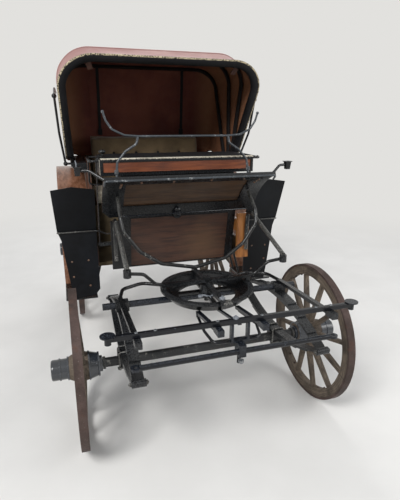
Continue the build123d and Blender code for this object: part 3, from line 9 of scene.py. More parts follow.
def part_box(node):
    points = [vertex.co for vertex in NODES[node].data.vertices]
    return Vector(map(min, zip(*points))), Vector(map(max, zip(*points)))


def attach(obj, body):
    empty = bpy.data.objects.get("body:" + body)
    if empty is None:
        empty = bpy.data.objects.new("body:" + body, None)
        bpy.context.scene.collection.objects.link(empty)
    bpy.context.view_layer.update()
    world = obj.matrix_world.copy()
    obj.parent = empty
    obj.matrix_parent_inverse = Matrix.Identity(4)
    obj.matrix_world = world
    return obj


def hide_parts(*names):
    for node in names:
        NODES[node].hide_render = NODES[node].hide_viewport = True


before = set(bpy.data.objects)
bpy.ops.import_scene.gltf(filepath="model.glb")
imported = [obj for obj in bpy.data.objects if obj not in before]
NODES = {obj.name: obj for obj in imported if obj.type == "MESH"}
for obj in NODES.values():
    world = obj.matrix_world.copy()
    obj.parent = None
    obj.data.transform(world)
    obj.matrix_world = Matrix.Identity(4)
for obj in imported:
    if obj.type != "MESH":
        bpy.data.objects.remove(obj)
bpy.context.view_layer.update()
RNG = random.Random(11)
CARRIAGE, FORECARRIAGE = "carriage", "forecarriage"
SCENE = bpy.context.scene
UP = Vector((0, 0, 1))


def middle(node):
    """The centre of a CAD node's box."""
    low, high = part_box(node)
    return (low + high) / 2


FRONT_AXLE_Y, REAR_AXLE_Y = middle("tyre_front_left").y, middle("tyre_rear_left").y


def back(distance):
    """Y of a place that far behind the front axle, both in metres."""
    return FRONT_AXLE_Y + distance


def ahead(distance):
    """Y of a place that far ahead of the rear axle, both in metres."""
    return REAR_AXLE_Y - distance


def behind(*places):
    """Points from x, the distance behind the front axle and z."""
    return [(x, back(distance), z) for x, distance, z in places]


def scene_object(name, data):
    """A new object in the scene."""
    obj = bpy.data.objects.new(name, data)
    SCENE.collection.objects.link(obj)
    return obj


# Camera and lamps
HEADING, PITCH, ROLL = math.radians(17.6), math.radians(17.23), math.radians(0.24)
CAMERA_PLACE = (-0.690, back(-2.091), 1.700)
SENSOR_MM, FRAME_PX, FOCAL_PX = 36.0, 400.0, 422.7
level_forward = Vector((math.sin(HEADING), math.cos(HEADING), 0))
level_right = Vector((math.cos(HEADING), -math.sin(HEADING), 0))
forward = level_forward * math.cos(PITCH) - UP * math.sin(PITCH)
upward = level_forward * math.sin(PITCH) + UP * math.cos(PITCH)
right = level_right * math.cos(ROLL) + upward * math.sin(ROLL)
upward = upward * math.cos(ROLL) - level_right * math.sin(ROLL)
cam_data = bpy.data.cameras.new("camera")
cam_data.sensor_fit = "HORIZONTAL"
cam_data.sensor_width = SENSOR_MM
cam_data.lens = FOCAL_PX * SENSOR_MM / FRAME_PX
cam_data.clip_end = 100.0
camera = scene_object("camera", cam_data)
turned = Matrix((right, upward, -forward)).transposed().to_4x4()
camera.matrix_world = Matrix.Translation(CAMERA_PLACE) @ turned
SCENE.camera = camera
SCENE.view_settings.view_transform = "Standard"


def lamp(name, place, target, size, power):
    """A soft square lamp aimed at a point."""
    data = bpy.data.lights.new(name, "AREA")
    data.shape = "SQUARE"
    data.size = size
    data.energy = power
    obj = scene_object(name, data)
    obj.location = place
    obj.rotation_euler = (Vector(target) - Vector(place)).to_track_quat("-Z", "Y").to_euler()


lamp("key", (-3.6, -4.3, 5.4), (0, 0, 0.8), 2.2, 400)
lamp("fill", (4.6, -3.4, 3.0), (0, -0.3, 0.9), 3.5, 120)
lamp("back", (1.5, 5.2, 4.2), (0, 0.3, 1.2), 3.0, 150)

# Materials


def srgb(*display):
    """A 0-255 display colour as a linear one."""
    shares = [c / 255.0 for c in display]
    return tuple(c / 12.92 if c <= 0.04045 else ((c + 0.055) / 1.055) ** 2.4 for c in shares) + (1.0,)


class Shader:
    """A small wrapper that adds nodes to one material and links them.

    A colour is given as three display numbers or as four linear ones.
    """

    def __init__(self, name):
        self.mat = bpy.data.materials.new(name)
        self.mat.use_nodes = True
        self.tree = self.mat.node_tree
        self.tree.nodes.clear()
        self.out = self.node("ShaderNodeOutputMaterial")
        self.bsdf = self.node("ShaderNodeBsdfPrincipled")
        self.put(self.out.inputs[0], self.bsdf.outputs[0])
        self.coords = self.node("ShaderNodeTexCoord").outputs["Object"]

    def put(self, socket, value):
        if isinstance(value, bpy.types.NodeSocket):
            self.tree.links.new(value, socket)
        elif isinstance(value, tuple) and len(value) == 3:
            socket.default_value = srgb(*value)
        elif value is not None:
            socket.default_value = value

    def node(self, kind, inputs=None, **settings):
        made = self.tree.nodes.new(kind)
        for key, value in settings.items():
            setattr(made, key, value)
        for key, value in (inputs or {}).items():
            self.put(made.inputs[key], value)
        return made

    def mapped(self, scale):
        return self.node("ShaderNodeMapping", {"Scale": list(scale), "Vector": self.coords}).outputs[0]

    def noise(self, scale, detail=5.0, rough=0.55, vector=None, distortion=0.0):
        return self.node("ShaderNodeTexNoise", {
            "Scale": scale, "Detail": detail, "Roughness": rough, "Distortion": distortion,
            "Vector": vector or self.coords}).outputs["Fac"]

    def cells(self, scale):
        return self.node("ShaderNodeTexVoronoi", {"Scale": scale, "Vector": self.coords}).outputs["Distance"]

    def ramp(self, value, low, high, start=0.0, end=1.0):
        return self.node("ShaderNodeMapRange", {
            "Value": value, "From Min": low, "From Max": high, "To Min": start, "To Max": end,
        }, interpolation_type="SMOOTHSTEP").outputs[0]

    def math(self, operation, first, second=None, clamp=False):
        inputs = {0: first, 1: second}
        return self.node("ShaderNodeMath", inputs, operation=operation, use_clamp=clamp).outputs[0]

    def plus(self, first, second):
        return self.math("ADD", first, second)

    def minus(self, first, second):
        return self.math("SUBTRACT", first, second)

    def times(self, first, second, clamp=False):
        return self.math("MULTIPLY", first, second, clamp)

    def mix(self, factor, first, second):
        return self.node("ShaderNodeMix", {0: factor, 6: first, 7: second}, data_type="RGBA").outputs[2]

    def pointiness(self):
        return self.node("ShaderNodeNewGeometry").outputs["Pointiness"]

    def split(self):
        return self.node("ShaderNodeSeparateXYZ", {0: self.coords}).outputs

    def join(self, values, scales):
        return self.node("ShaderNodeCombineXYZ", {
            index: self.times(value, scale) for index, (value, scale) in enumerate(zip(values, scales))
        }).outputs[0]

    def bump(self, height, strength, distance):
        made = self.node("ShaderNodeBump", {"Height": height, "Strength": strength, "Distance": distance})
        self.put(self.bsdf.inputs["Normal"], made.outputs[0])

    def finish(self, colour, roughness, **sockets):
        self.put(self.bsdf.inputs["Base Color"], colour)
        self.put(self.bsdf.inputs["Roughness"], roughness)
        for key, value in sockets.items():
            self.bsdf.inputs[key.replace("_", " ")].default_value = value
        return self.mat


EDGE_POINTS = (0.52, 0.62)  # pointiness of a worn edge, from faint to full


def darker(colour, share):
    """A display colour at a share of its strength, as a linear one."""
    return tuple(c * share for c in srgb(*colour)[:3]) + (1,)


def worn_iron(name, paint, bare, rust, wear, rust_share, rough=(0.34, 0.62), mirror=0.42):
    """Old paint on iron: flaked to grey metal along edges, with rust in the flakes."""
    s = Shader(name)
    broad = s.noise(9.0, 4.0)
    flakes = s.noise(150.0, 8.0, 0.66, distortion=0.4)
    patches = s.noise(28.0, 7.0, 0.66)
    grit = s.noise(520.0, 4.0, 0.6)
    mixed = s.plus(s.times(flakes, 0.6), s.times(patches, 0.65))
    mixed = s.plus(mixed, s.times(broad, 0.2))
    bare_mask = s.ramp(mixed, 0.90 - wear * 0.13, 0.98 - wear * 0.13)
    edge = s.times(s.ramp(s.pointiness(), *EDGE_POINTS), s.ramp(flakes, 0.4, 0.62))
    bare_mask = s.math("MAXIMUM", bare_mask, s.times(edge, wear, clamp=True))
    rust_low, rust_high = 0.62 - 0.25 * rust_share, 0.75 - 0.2 * rust_share
    rust_mask = s.times(s.ramp(s.noise(23.0, 6.0, 0.6), rust_low, rust_high), rust_share)
    tone = s.mix(s.ramp(broad, 0.3, 0.7), paint, darker(paint, 1.5))
    colour = s.mix(rust_mask, s.mix(bare_mask, tone, bare), rust)
    roughness = s.ramp(s.plus(s.times(bare_mask, 0.35), s.times(flakes, 0.6)), 0.2, 0.9, *rough)
    s.bump(s.plus(s.times(bare_mask, -0.6), s.times(grit, 0.35)), 0.5, 0.0008)
    return s.finish(colour, roughness, Specular_IOR_Level=mirror)


def plank_wood(name, dark, light, axis, streak=26.0, varnish=0.35, patch=None, zones=(), painted=None):
    """Boards with grain along one axis, worn varnish and darker stains.

    patch: a lighter ragged place as its tint, its centre (x, z) and its radius. zones: (from height, dark,
    light).
    painted: the x below which the boards still have their black paint.
    """
    s = Shader(name)
    stretch = [streak] * 3
    stretch[axis] = 1.6
    grain = s.noise(3.2, 9.0, 0.62, s.mapped(stretch), 0.5)
    fine = s.noise(11.0, 6.0, 0.7, s.mapped([v * 2.2 if i != axis else v * 3 for i, v in enumerate(stretch)]))
    stain = s.noise(4.0, 5.0, 0.6)
    height = s.split()[2]
    low, high = dark, light
    for start, zone_low, zone_high in zones:
        share = s.ramp(height, start - 0.002, start + 0.002)
        low, high = s.mix(share, low, zone_low), s.mix(share, high, zone_high)
    colour = s.mix(s.ramp(grain, 0.32, 0.68), low, high)
    colour = s.mix(s.times(s.ramp(fine, 0.55, 0.72), 0.45), colour, darker(dark, 0.5))
    colour = s.mix(s.times(s.ramp(stain, 0.5, 0.75), 0.4), colour, darker(dark, 0.6))
    if patch:
        tint, centre, radius = patch
        x, _, z = s.split()
        squares = [s.math("POWER", s.minus(value, place), 2.0) for value, place in zip((x, z), centre)]
        off_centre = s.math("POWER", s.plus(*squares), 0.5)
        ragged = s.plus(off_centre, s.times(s.noise(7.0, 6.0, 0.7), radius * 1.6))
        colour = s.mix(s.ramp(ragged, radius * 0.7, radius * 2.6, 0.7, 0.0), colour, tint)
    if painted is not None:
        bare_side = s.ramp(s.split()[0], painted - 0.01, painted + 0.01)
        colour = s.mix(bare_side, (10, 11, 13), colour)
    s.bump(s.plus(grain, s.times(fine, 0.5)), 0.35, 0.0012)
    return s.finish(colour, s.ramp(stain, 0.3, 0.7, varnish, varnish + 0.25))


def wheel_wood(name, centre, inner, joints, damage=None):
    """Bare weathered wood: grain along the spokes and round the felloes, and the felloes' joints."""
    s = Shader(name)
    x, y, z = s.split()
    dy = s.minus(y, centre.y)
    dz = s.minus(z, centre.z)
    angle = s.math("ARCTAN2", dz, dy)
    radius = s.math("POWER", s.plus(s.times(dy, dy), s.times(dz, dz)), 0.5)
    on_rim = s.ramp(radius, inner - 0.004, inner + 0.004)
    radial = s.noise(1.4, 6.0, 0.6, s.join((angle, radius, x), (90.0, 5.0, 70.0)))
    round_rim = s.noise(1.4, 6.0, 0.6, s.join((angle, radius, x), (3.5, 120.0, 90.0)))
    grain = s.plus(s.times(round_rim, on_rim), s.times(radial, s.minus(1.0, on_rim)))
    blotch = s.noise(7.0, 5.0, 0.6)
    speck = s.noise(1.6, 6.0, 0.7, s.join((dy, dz, x), (60.0, 60.0, 60.0)))
    colour = s.mix(s.ramp(grain, 0.3, 0.7), (68, 59, 51), (112, 100, 87))
    colour = s.mix(s.times(s.ramp(blotch, 0.46, 0.66), 0.75), colour, (48, 41, 36))
    colour = s.mix(s.times(s.ramp(speck, 0.58, 0.7), 0.5), colour, (142, 131, 116))
    turn = s.math("FRACT", s.plus(s.times(angle, joints / (2 * math.pi)), 10.25))
    seam = s.times(s.ramp(s.math("ABSOLUTE", s.minus(turn, 0.5)), 0.0, 0.007, 1.0, 0.0), on_rim)
    colour = s.mix(seam, colour, (24, 18, 15))
    height = s.minus(s.plus(grain, s.times(speck, 0.4)), s.times(seam, 1.5))
    if damage:
        away = s.node("ShaderNodeVectorMath", {0: s.coords, 1: list(damage)}, operation="DISTANCE")
        ragged = s.plus(away.outputs["Value"], s.times(s.noise(60.0, 5.0, 0.6), 0.03))
        rot = s.ramp(ragged, 0.032, 0.05, 1.0, 0.0)
        colour = s.mix(s.times(rot, 0.9), colour, (20, 15, 12))
        height = s.minus(height, s.times(rot, 2.0))
    s.bump(height, 0.5, 0.002)
    return s.finish(colour, 0.8, Specular_IOR_Level=0.3)


def tyre_iron(name):
    """Rolled iron gone brown, scuffed bright at the edges and flecked with pale specks."""
    s = Shader(name)
    broad = s.noise(8.0, 5.0, 0.6)
    pits = s.noise(160.0, 6.0, 0.7)
    colour = s.mix(s.ramp(broad, 0.38, 0.62), (34, 25, 24), (68, 54, 51))
    colour = s.mix(s.ramp(s.noise(15.0, 6.0, 0.65), 0.54, 0.68, 0.0, 0.6), colour, (74, 42, 28))
    colour = s.mix(s.times(s.ramp(pits, 0.52, 0.7), 0.6), colour, (24, 18, 18))
    colour = s.mix(s.times(s.ramp(s.pointiness(), *EDGE_POINTS), 0.14), colour, (128, 108, 98))
    colour = s.mix(s.ramp(s.cells(55.0), 0.075, 0.055, 0.0, 0.6), colour, (170, 164, 158))
    s.bump(pits, 0.5, 0.0012)
    return s.finish(colour, s.ramp(pits, 0.3, 0.7, 0.55, 0.85), Specular_IOR_Level=0.25)


def leather(name, base, second, pale, wear=0.3, grain=260.0, rough=(0.5, 0.75), sides=None, mirror=0.5):
    """Grained leather: creases, and dust in the broad patches. sides: its colour at the sides."""
    s = Shader(name)
    broad = s.noise(3.6, 5.0, 0.6)
    cells = s.cells(grain)
    creases = s.noise(26.0, 8.0, 0.7, distortion=0.8)
    dust = s.ramp(s.plus(broad, s.times(creases, 0.5)), 0.62, 0.98)
    colour = s.mix(s.ramp(broad, 0.3, 0.7), base, second)
    if sides:
        colour = s.mix(s.ramp(s.math("ABSOLUTE", s.split()[0]), 0.46, 0.62), colour, sides)
    colour = s.mix(s.times(dust, wear), colour, pale)
    s.bump(s.plus(s.times(cells, 0.35), creases), 0.45, 0.0014)
    return s.finish(colour, s.ramp(creases, 0.3, 0.7, *rough), Specular_IOR_Level=mirror)


THREAD = 520.0 * 2.2  # turns of the weave's wave per metre, in radians


def woven(name, base, second, stain=None, hollows=0.0):
    """Plain-woven cloth with fuzz and stains. hollows: how strongly painted shade darkens its hollows."""
    s = Shader(name)
    x, y, z = s.split()
    warp = s.math("SINE", s.times(x, THREAD))
    weft = s.math("SINE", s.times(s.plus(y, z), THREAD))
    weave = s.times(warp, weft)
    broad = s.noise(5.0, 5.0, 0.6)
    fuzz = s.noise(300.0, 3.0, 0.6)
    colour = s.mix(s.ramp(s.plus(broad, s.times(fuzz, 0.25)), 0.4, 0.8), base, second)
    colour = s.mix(s.ramp(weave, -1.0, 1.0, 0.0, 0.22), colour, darker(base, 0.55))
    if stain:
        colour = s.mix(s.times(s.ramp(s.noise(3.0, 6.0, 0.6), 0.55, 0.7), 0.55), colour, stain)
    # painted shade: the hollows, found by low pointiness, are darkened
    if hollows:
        colour = s.mix(s.ramp(s.pointiness(), 0.43, 0.495, hollows, 0.0), colour, darker(base, 0.25))
    s.bump(s.plus(s.times(weave, 0.4), fuzz), 0.4, 0.0008)
    return s.finish(colour, 0.92, Sheen_Weight=0.25)


def edging(name):
    """Twisted edging: pale threads with dark gaps between them."""
    s = Shader(name)
    threads = s.noise(120.0, 3.0, 0.6)
    s.bump(threads, 0.8, 0.002)
    return s.finish(s.mix(s.ramp(threads, 0.42, 0.56), (34, 30, 27), (186, 172, 142)), 0.9)


def lined_tub(name):
    """Varnished boards outside, drab cloth between the tub's sides."""
    s = Shader(name)
    x, y, z = s.split()
    grain = s.noise(3.2, 9.0, 0.62, s.mapped((10.0, 1.6, 10.0)), 0.5)
    warp = s.math("SINE", s.times(s.plus(x, y), 1100.0))
    weave = s.times(warp, s.math("SINE", s.times(z, 1100.0)))
    cloth = s.ramp(s.math("ABSOLUTE", x), 0.5160, 0.5155)
    varnish = s.mix(s.ramp(grain, 0.32, 0.68), (52, 28, 19), (84, 47, 29))
    drab = s.mix(s.ramp(s.noise(6.0, 6.0, 0.6), 0.3, 0.7), (74, 62, 44), (104, 90, 66))
    drab = s.mix(s.ramp(weave, -1.0, 1.0, 0.0, 0.2), drab, (52, 44, 32))
    s.bump(s.plus(grain, s.times(s.times(weave, cloth), 0.4)), 0.35, 0.001)
    return s.finish(s.mix(cloth, varnish, drab), s.ramp(cloth, 0.0, 1.0, 0.3, 0.9))


iron = worn_iron("gear_iron", (9, 10, 12), (96, 98, 100), (60, 50, 44), 0.25, 0.1, (0.26, 0.5))
draught = worn_iron("draught_iron", (9, 11, 16), (88, 96, 108), (56, 50, 46), 0.2, 0.08, (0.22, 0.45))
worn_grey = worn_iron("worn_grey_iron", (20, 21, 22), (136, 134, 128), (80, 68, 58), 0.85, 0.25)
rail_grey = worn_iron("rail_iron", (50, 54, 58), (140, 142, 142), (74, 62, 54), 0.9, 0.12, (0.28, 0.5))
axle_iron = worn_iron("axle_iron", (24, 25, 26), (116, 114, 108), (66, 56, 48), 0.7, 0.3, (0.4, 0.7))
# the hubs are black iron: the bluish grey of this paint and of its bare metal is partly painted sky
# reflection, the flaking is wear
hub_iron = worn_iron("hub_iron", (34, 38, 44), (104, 110, 118), (52, 46, 42), 0.3, 0.12, (0.16, 0.42), 0.9)
bright_iron = worn_iron("bright_iron", (84, 88, 94), (140, 143, 148), (92, 82, 72), 1.0, 0.2)
bright_rust = worn_iron("rivet_rust", (88, 66, 52), (130, 112, 96), (110, 74, 50), 0.8, 0.6)
body_black = worn_iron("body_paint", (10, 11, 13), (74, 78, 82), (40, 38, 38), 0.15, 0.05, (0.26, 0.45))
tyre_mat = tyre_iron("tyre_iron")
toe_wood = plank_wood(
    "varnished_wood", (44, 25, 17), (78, 47, 31), 0, 20.0, 0.34, patch=((92, 66, 42), (0.16, 0.90), 0.12),
    zones=((1.110, (54, 38, 27), (88, 64, 43)), (1.365, (90, 45, 27), (128, 70, 40))))
plank_mat = plank_wood("bare_planks", (116, 70, 34), (170, 112, 58), 2, 16.0, 0.3, painted=0.0)
bow_mat = leather("bow_cover", (9, 9, 11), (15, 14, 15), (34, 31, 31), 0.2)
guard_mat = leather("guard_leather", (3, 4, 7), (6, 8, 12), (38, 42, 50), 0.16, 320.0, (0.4, 0.6),
                    mirror=0.22)
wing_mat = plank_wood("wing_varnish", (100, 64, 44), (142, 102, 80), 1, 10.0, 0.12)
tub_mat = lined_tub("tub_varnish")
# painted sunlight: the cushion's cream stands for the seat back's drab cloth in sun
cushion_painted_sun_mat = woven("cushion_cloth", (214, 200, 172), (232, 222, 200), stain=(186, 166, 130))
# painted shade darkens the seat back's buttoned hollows
seat_mat = woven("seat_cloth", (80, 66, 46), (112, 94, 68), stain=(50, 42, 32), hollows=0.85)
hood_mat = leather("hood_leather", (156, 118, 114), (168, 130, 124), (190, 160, 154), 0.28, 200.0,
                   (0.6, 0.85))
lining_mat = leather("hood_lining", (92, 44, 34), (112, 58, 44), (126, 76, 58), 0.3, 300.0, (0.75, 0.9),
                     sides=(128, 86, 58))
tab_mat = leather("tab_leather", (58, 34, 26), (78, 48, 36), (92, 64, 50), 0.3, 300.0, (0.7, 0.9))
black_hide = leather("black_leather", (5, 5, 8), (10, 10, 13), (44, 43, 46), 0.2, mirror=0.25)
fray_mat = woven("frayed_canvas", (176, 168, 150), (222, 214, 196))
edging_mat = edging("hood_edging")

FINISH = {key: mat for mat, keys in (
    (iron, "front_spring rear_spring lower_ring upper_ring top_bed braces kingpin seat_rails brake_lever"),
    (iron, "lamp_brackets rear_bed hood_irons steps"), (tyre_mat, "tyre"), (hub_iron, "hub"),
    (axle_iron, "front_axle rear_axle"), (draught, "bolster futchells splinter_bar pole_loop evener_bar"),
    (worn_grey, "hoop_iron uprights guard_straps"), (rail_grey, "dash_rail rein_rail"), (guard_mat, "guard"),
    (body_black, "toe_frame boot_box boot_frame seat_frame elbows"), (tub_mat, "tub seat_base"),
    (plank_mat, "planks"), (toe_wood, "wood_panels"), (bow_mat, "hood_bows"), (wing_mat, "wing"),
) for key in keys.split()}


def dress(obj, mat):
    """Gives an object this material, in its own slot."""
    if not obj.material_slots:
        obj.data.materials.append(None)
    obj.material_slots[0].link = "OBJECT"
    obj.material_slots[0].material = mat


JOINTS = {"front": 6, "rear": 7}  # between each wheel's felloes
FELLOE_T = 0.050
ROT = (0.716, back(-0.195), 0.790)  # the decayed place in one front felloe
for node_name, node in NODES.items():
    if node_name.startswith("wheel_"):
        low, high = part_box(node_name)
        inner = (high.z - low.z) / 2 - FELLOE_T
        joints = JOINTS[node_name.split("_")[1]]
        damage = ROT if node_name == "wheel_front_left" else None
        dress(node, wheel_wood("wood_" + node_name, (low + high) / 2, inner, joints, damage))
        continue
    for key in sorted(FINISH, key=len, reverse=True):
        if node_name.startswith(key):
            dress(node, FINISH[key])
            break

# Mesh helpers


def new_object(name, mesh, mats, body):
    """Links a mesh as a piece that rides on a body."""
    obj = scene_object(name, mesh)
    for mat in mats:
        mesh.materials.append(mat)
    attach(obj, body)
    return obj


def settle(obj):
    """Applies an object's modifiers."""
    made = bpy.data.meshes.new_from_object(obj.evaluated_get(bpy.context.evaluated_depsgraph_get()))
    obj.modifiers.clear()
    obj.data = made


def thicken(obj, thickness, offset):
    """Gives a sheet its thickness, still as a modifier."""
    modifier = obj.modifiers.new("thicken", "SOLIDIFY")
    modifier.thickness, modifier.offset = thickness, offset
    return modifier


def grid_mesh(name, rows):
    """A smooth mesh through rows of points."""
    mesh = bpy.data.meshes.new(name)
    wide = len(rows[0])
    faces = [(r * wide + i, r * wide + i + 1, (r + 1) * wide + i + 1, (r + 1) * wide + i)
             for r in range(len(rows) - 1) for i in range(wide - 1)]
    mesh.from_pydata([tuple(p) for row in rows for p in row], [], faces)
    mesh.shade_smooth()
    return mesh


def closed_mesh(name, bm):
    """The mesh of a bmesh, its faces turned outward."""
    bmesh.ops.recalc_face_normals(bm, faces=bm.faces)
    mesh = bpy.data.meshes.new(name)
    bm.to_mesh(mesh)
    bm.free()
    return mesh


DOME = ((-0.3, 0), (-0.3, 0.98), (0.0, 1.0), (0.28, 0.9), (0.48, 0.66), (0.58, 0.3), (0.6, 0))
NUT = ((-0.3, 0), (-0.3, 1.0), (0.7, 1.0), (0.85, 0.86), (0.85, 0.5), (1.15, 0.46), (1.2, 0))
SHARP_ANGLE = math.radians(38)


def followed(points):
    """Each point as a vector, with the direction of the line through it."""
    points = [Vector(p) for p in points]
    for i, point in enumerate(points):
        yield point, (points[min(i + 1, len(points) - 1)] - points[max(i - 1, 0)]).normalized()


class Batch:
    """Small pieces of one material, gathered into one mesh."""

    def __init__(self):
        self.bm = bmesh.new()

    def skin(self, rings):
        """Faces between rings of points; a ring of one point closes an end."""
        rings = [[self.bm.verts.new(p) for p in ring] for ring in rings]
        for first, second in zip(rings, rings[1:]):
            count = max(len(first), len(second))
            for i in range(count):
                j = (i + 1) % count
                corners = (first[i % len(first)], first[j % len(first)],
                           second[j % len(second)], second[i % len(second)])
                self.bm.faces.new(list(dict.fromkeys(corners)))

    def revolve(self, place, axis, outline, scale=1.0, steps=14, turn=0.0):
        """A turned piece: outline holds pairs of distance along the axis and radius."""
        along = Vector(axis).normalized()
        across = along.orthogonal().normalized()
        third = along.cross(across)
        rings = []
        for distance, radius in outline:
            heart = Vector(place) + along * distance * scale
            if radius == 0:
                rings.append([heart])
                continue
            rings.append([heart + (across * math.cos(a) + third * math.sin(a)) * radius * scale
                          for a in (turn + 2 * math.pi * i / steps for i in range(steps))])
        self.skin(rings)

    def strap(self, points, across, width, thick):
        """A flat strap through points, lying across one direction."""
        rings = [[points[0]]]
        for point, run in followed(points):
            side = (Vector(across) - run * run.dot(Vector(across))).normalized()
            up = run.cross(side)
            rings.append([point + side * a * width / 2 + up * b * thick / 2
                          for a, b in ((-1, -1), (1, -1), (1, 1), (-1, 1))])
        self.skin(rings + [[points[-1]]])

    def rod(self, points, radius, steps=8):
        """A round rod through points."""
        side = (Vector(points[1]) - Vector(points[0])).orthogonal().normalized()
        rings = [[points[0]]]
        for point, run in followed(points):
            side = (side - run * run.dot(side)).normalized()
            up = run.cross(side)
            rings.append([point + (side * math.cos(a) + up * math.sin(a)) * radius
                          for a in (2 * math.pi * k / steps for k in range(steps))])
        self.skin(rings + [[points[-1]]])

    def finish(self, name, mat, body=CARRIAGE):
        """The gathered pieces as one object that rides on a body."""
        mesh = closed_mesh(name, self.bm)
        mesh.shade_smooth()
        mesh.set_sharp_from_angle(angle=SHARP_ANGLE)
        return new_object(name, mesh, [mat], body)


# Hood: one sheet over the bows, with its trim
HOOD = (
    # foot (ahead, z), crown (ahead, z), half width low and at the shoulder, corner radius
    ((0.510, 1.418), (0.930, 2.072), 0.669, 0.687, 0.228),
    ((0.455, 1.402), (0.590, 2.160), 0.659, 0.691, 0.228),
    ((0.400, 1.398), (0.250, 2.185), 0.653, 0.689, 0.215),
    ((0.300, 1.398), (-0.090, 2.130), 0.648, 0.670, 0.190),
    ((0.200, 1.398), (-0.180, 1.420), 0.640, 0.642, 0.090),
)
SIDE_STEPS, CORNER_STEPS, CROWN_STEPS = 16, 14, 16
HOOD_SPANS = ((10, 0.011), (10, 0.011), (10, 0.010), (18, 0.006))  # rows and sag between the bows
HOOD_SKIN, HOOD_SLACK = 0.0045, 0.0012
HOOD_HEART = Vector((0, ahead(0.35), 1.65))  # well inside the hood


def arch(section, inset):
    """Points round one bow, from the foot on +X over the crown to the foot on -X."""
    (foot, low), (crown, high), low_half, high_half, corner = section
    rise = Vector((0, ahead(crown) - ahead(foot), high - low))
    top, radius = rise.length - inset, corner - inset
    low_half, high_half = low_half - inset, high_half - inset
    shoulder = top - radius
    flat = [(low_half + (high_half - low_half) * i / SIDE_STEPS, shoulder * i / SIDE_STEPS)
            for i in range(SIDE_STEPS)]
    flat += [(high_half - radius + radius * math.cos(a), shoulder + radius * math.sin(a))
             for a in (math.pi / 2 * i / CORNER_STEPS for i in range(CORNER_STEPS))]
    flat += [((high_half - radius) * (1 - i / CROWN_STEPS), top) for i in range(CROWN_STEPS + 1)]
    flat += [(-x, h) for x, h in reversed(flat[:-1])]
    up = rise.normalized()
    return [Vector((x, ahead(foot) + up.y * h, low + up.z * h)) for x, h in flat]


def between(first, second, share):
    """The row of points at a share of the way between two rows."""
    return [a.lerp(b, share) for a, b in zip(first, second)]


def outward(rows, r, i):
    """The direction square to the rows of points, away from the hood's inside."""
    row = rows[r]
    round_it = row[min(i + 1, len(row) - 1)] - row[max(i - 1, 0)]
    along_it = rows[min(r + 1, len(rows) - 1)][i] - rows[max(r - 1, 0)][i]
    normal = round_it.cross(along_it).normalized()
    return normal if normal.dot(row[i] - HOOD_HEART) > 0 else -normal


arches = [arch(section, 0.0) for section in HOOD]
flat_rows, sags = [], []
for span, (steps, sag) in enumerate(HOOD_SPANS):
    for step in range(steps):
        share = step / steps
        flat_rows.append(between(arches[span], arches[span + 1], share))
        sags.append(sag * 4 * share * (1 - share))
flat_rows.append(arches[-1])
sags.append(0.0)
hood_rows = []
for r, row in enumerate(flat_rows):
    hood_row = []
    for i, point in enumerate(row):
        end = min(1.0, min(i, len(row) - 1 - i) / 8)
        pull = sags[r] * (0.35 + 0.65 * end)
        ripple = 0.35 * noise.noise(Vector((point.x * 7, point.y * 9, point.z * 5)))
        ripple += 0.12 * noise.noise(point * 23.0)
        hood_row.append(point - outward(flat_rows, r, i) * (HOOD_SLACK + pull * (1 + ripple)))
    hood_rows.append(hood_row)

TUCK_HALF, TUCK_Y, TUCK_Z = 0.539, ahead(-0.0935), 1.384
ELBOW_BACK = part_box("elbows")[1].y


def tucked(point):
    """Where the hem ends: behind the tub's top edge, or just under itself over the elbow boards."""
    if point.y > ELBOW_BACK + 0.004:
        return Vector((max(-TUCK_HALF, min(TUCK_HALF, point.x)), min(point.y, TUCK_Y), TUCK_Z))
    return Vector((point.x * 0.985, point.y, point.z - 0.0004))


hem = hood_rows[-1]
for share in (0.5, 1.0):
    hood_rows.append([point.lerp(tucked(point), share) for point in hem])
hood = new_object("hood", grid_mesh("hood", hood_rows), [hood_mat, lining_mat, black_hide], CARRIAGE)
tested = hood.data.polygons[len(hood.data.polygons) // 3]
if tested.normal.dot(tested.center - HOOD_HEART) < 0:
    hood.data.flip_normals()
skin = thicken(hood, HOOD_SKIN, -1.0)
skin.material_offset, skin.material_offset_rim = 1, 2
settle(hood)
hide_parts("hood_leather")


def mouth_point(i, distance, inset):
    """A place by the hood's mouth: that far back along the skin, and that deep inside it."""
    first, second = arch(HOOD[0], inset)[i], arch(HOOD[1], inset)[i]
    return first.lerp(second, distance / (second - first).length)


COUNT = len(arches[0])
VALANCE = (
    # distance back along the skin, depth inside it
    (0.016, -0.0005), (0.012, -0.002), (0.004, -0.003), (-0.003, 0.000), (-0.006, 0.010), (-0.007, 0.022),
    (-0.006, 0.038), (0.002, 0.046), (0.033, 0.046),
)
valance_rows = [[mouth_point(i, d, inset + 0.0015 * noise.noise(Vector((i * 0.9, d * 40, 3.0))))
                 for i in range(COUNT)] for d, inset in VALANCE]
valance = new_object("hood_valance", grid_mesh("hood_valance", valance_rows), [black_hide], CARRIAGE)
thicken(valance, 0.003, 0.0)
settle(valance)

# The frayed edging nailed along the mouth's outer corner
EDGING = ((0.014, -0.0010), (0.011, -0.0055), (0.004, -0.0070), (-0.003, -0.0060), (-0.007, 0.0),
          (-0.007, 0.0035))
NAIL_PLACE = (0.0060, -0.0060)
fray_rows = [[mouth_point(i, d + 0.003 * noise.noise(Vector((i * 2.7, d * 900, 7.0))), inset)
              for i in range(COUNT)] for d, inset in EDGING]
fray = new_object("hood_frayed_edge", grid_mesh("hood_frayed_edge", fray_rows), [edging_mat], CARRIAGE)
nails = Batch()
for i in range(2, COUNT - 2):
    for share in (0.0, 0.5):
        spot = mouth_point(i, *NAIL_PLACE).lerp(mouth_point(i + 1, *NAIL_PLACE), share)
        nails.revolve(spot, outward(arches[:2], 0, i), DOME, 0.0032, 6)
hood_nails = nails.finish("hood_nails", bright_iron)

# Inside: the straps and seams of the rear curtain, and the pulled-up corner tabs
CURTAIN_SAG = HOOD_SPANS[3][1]


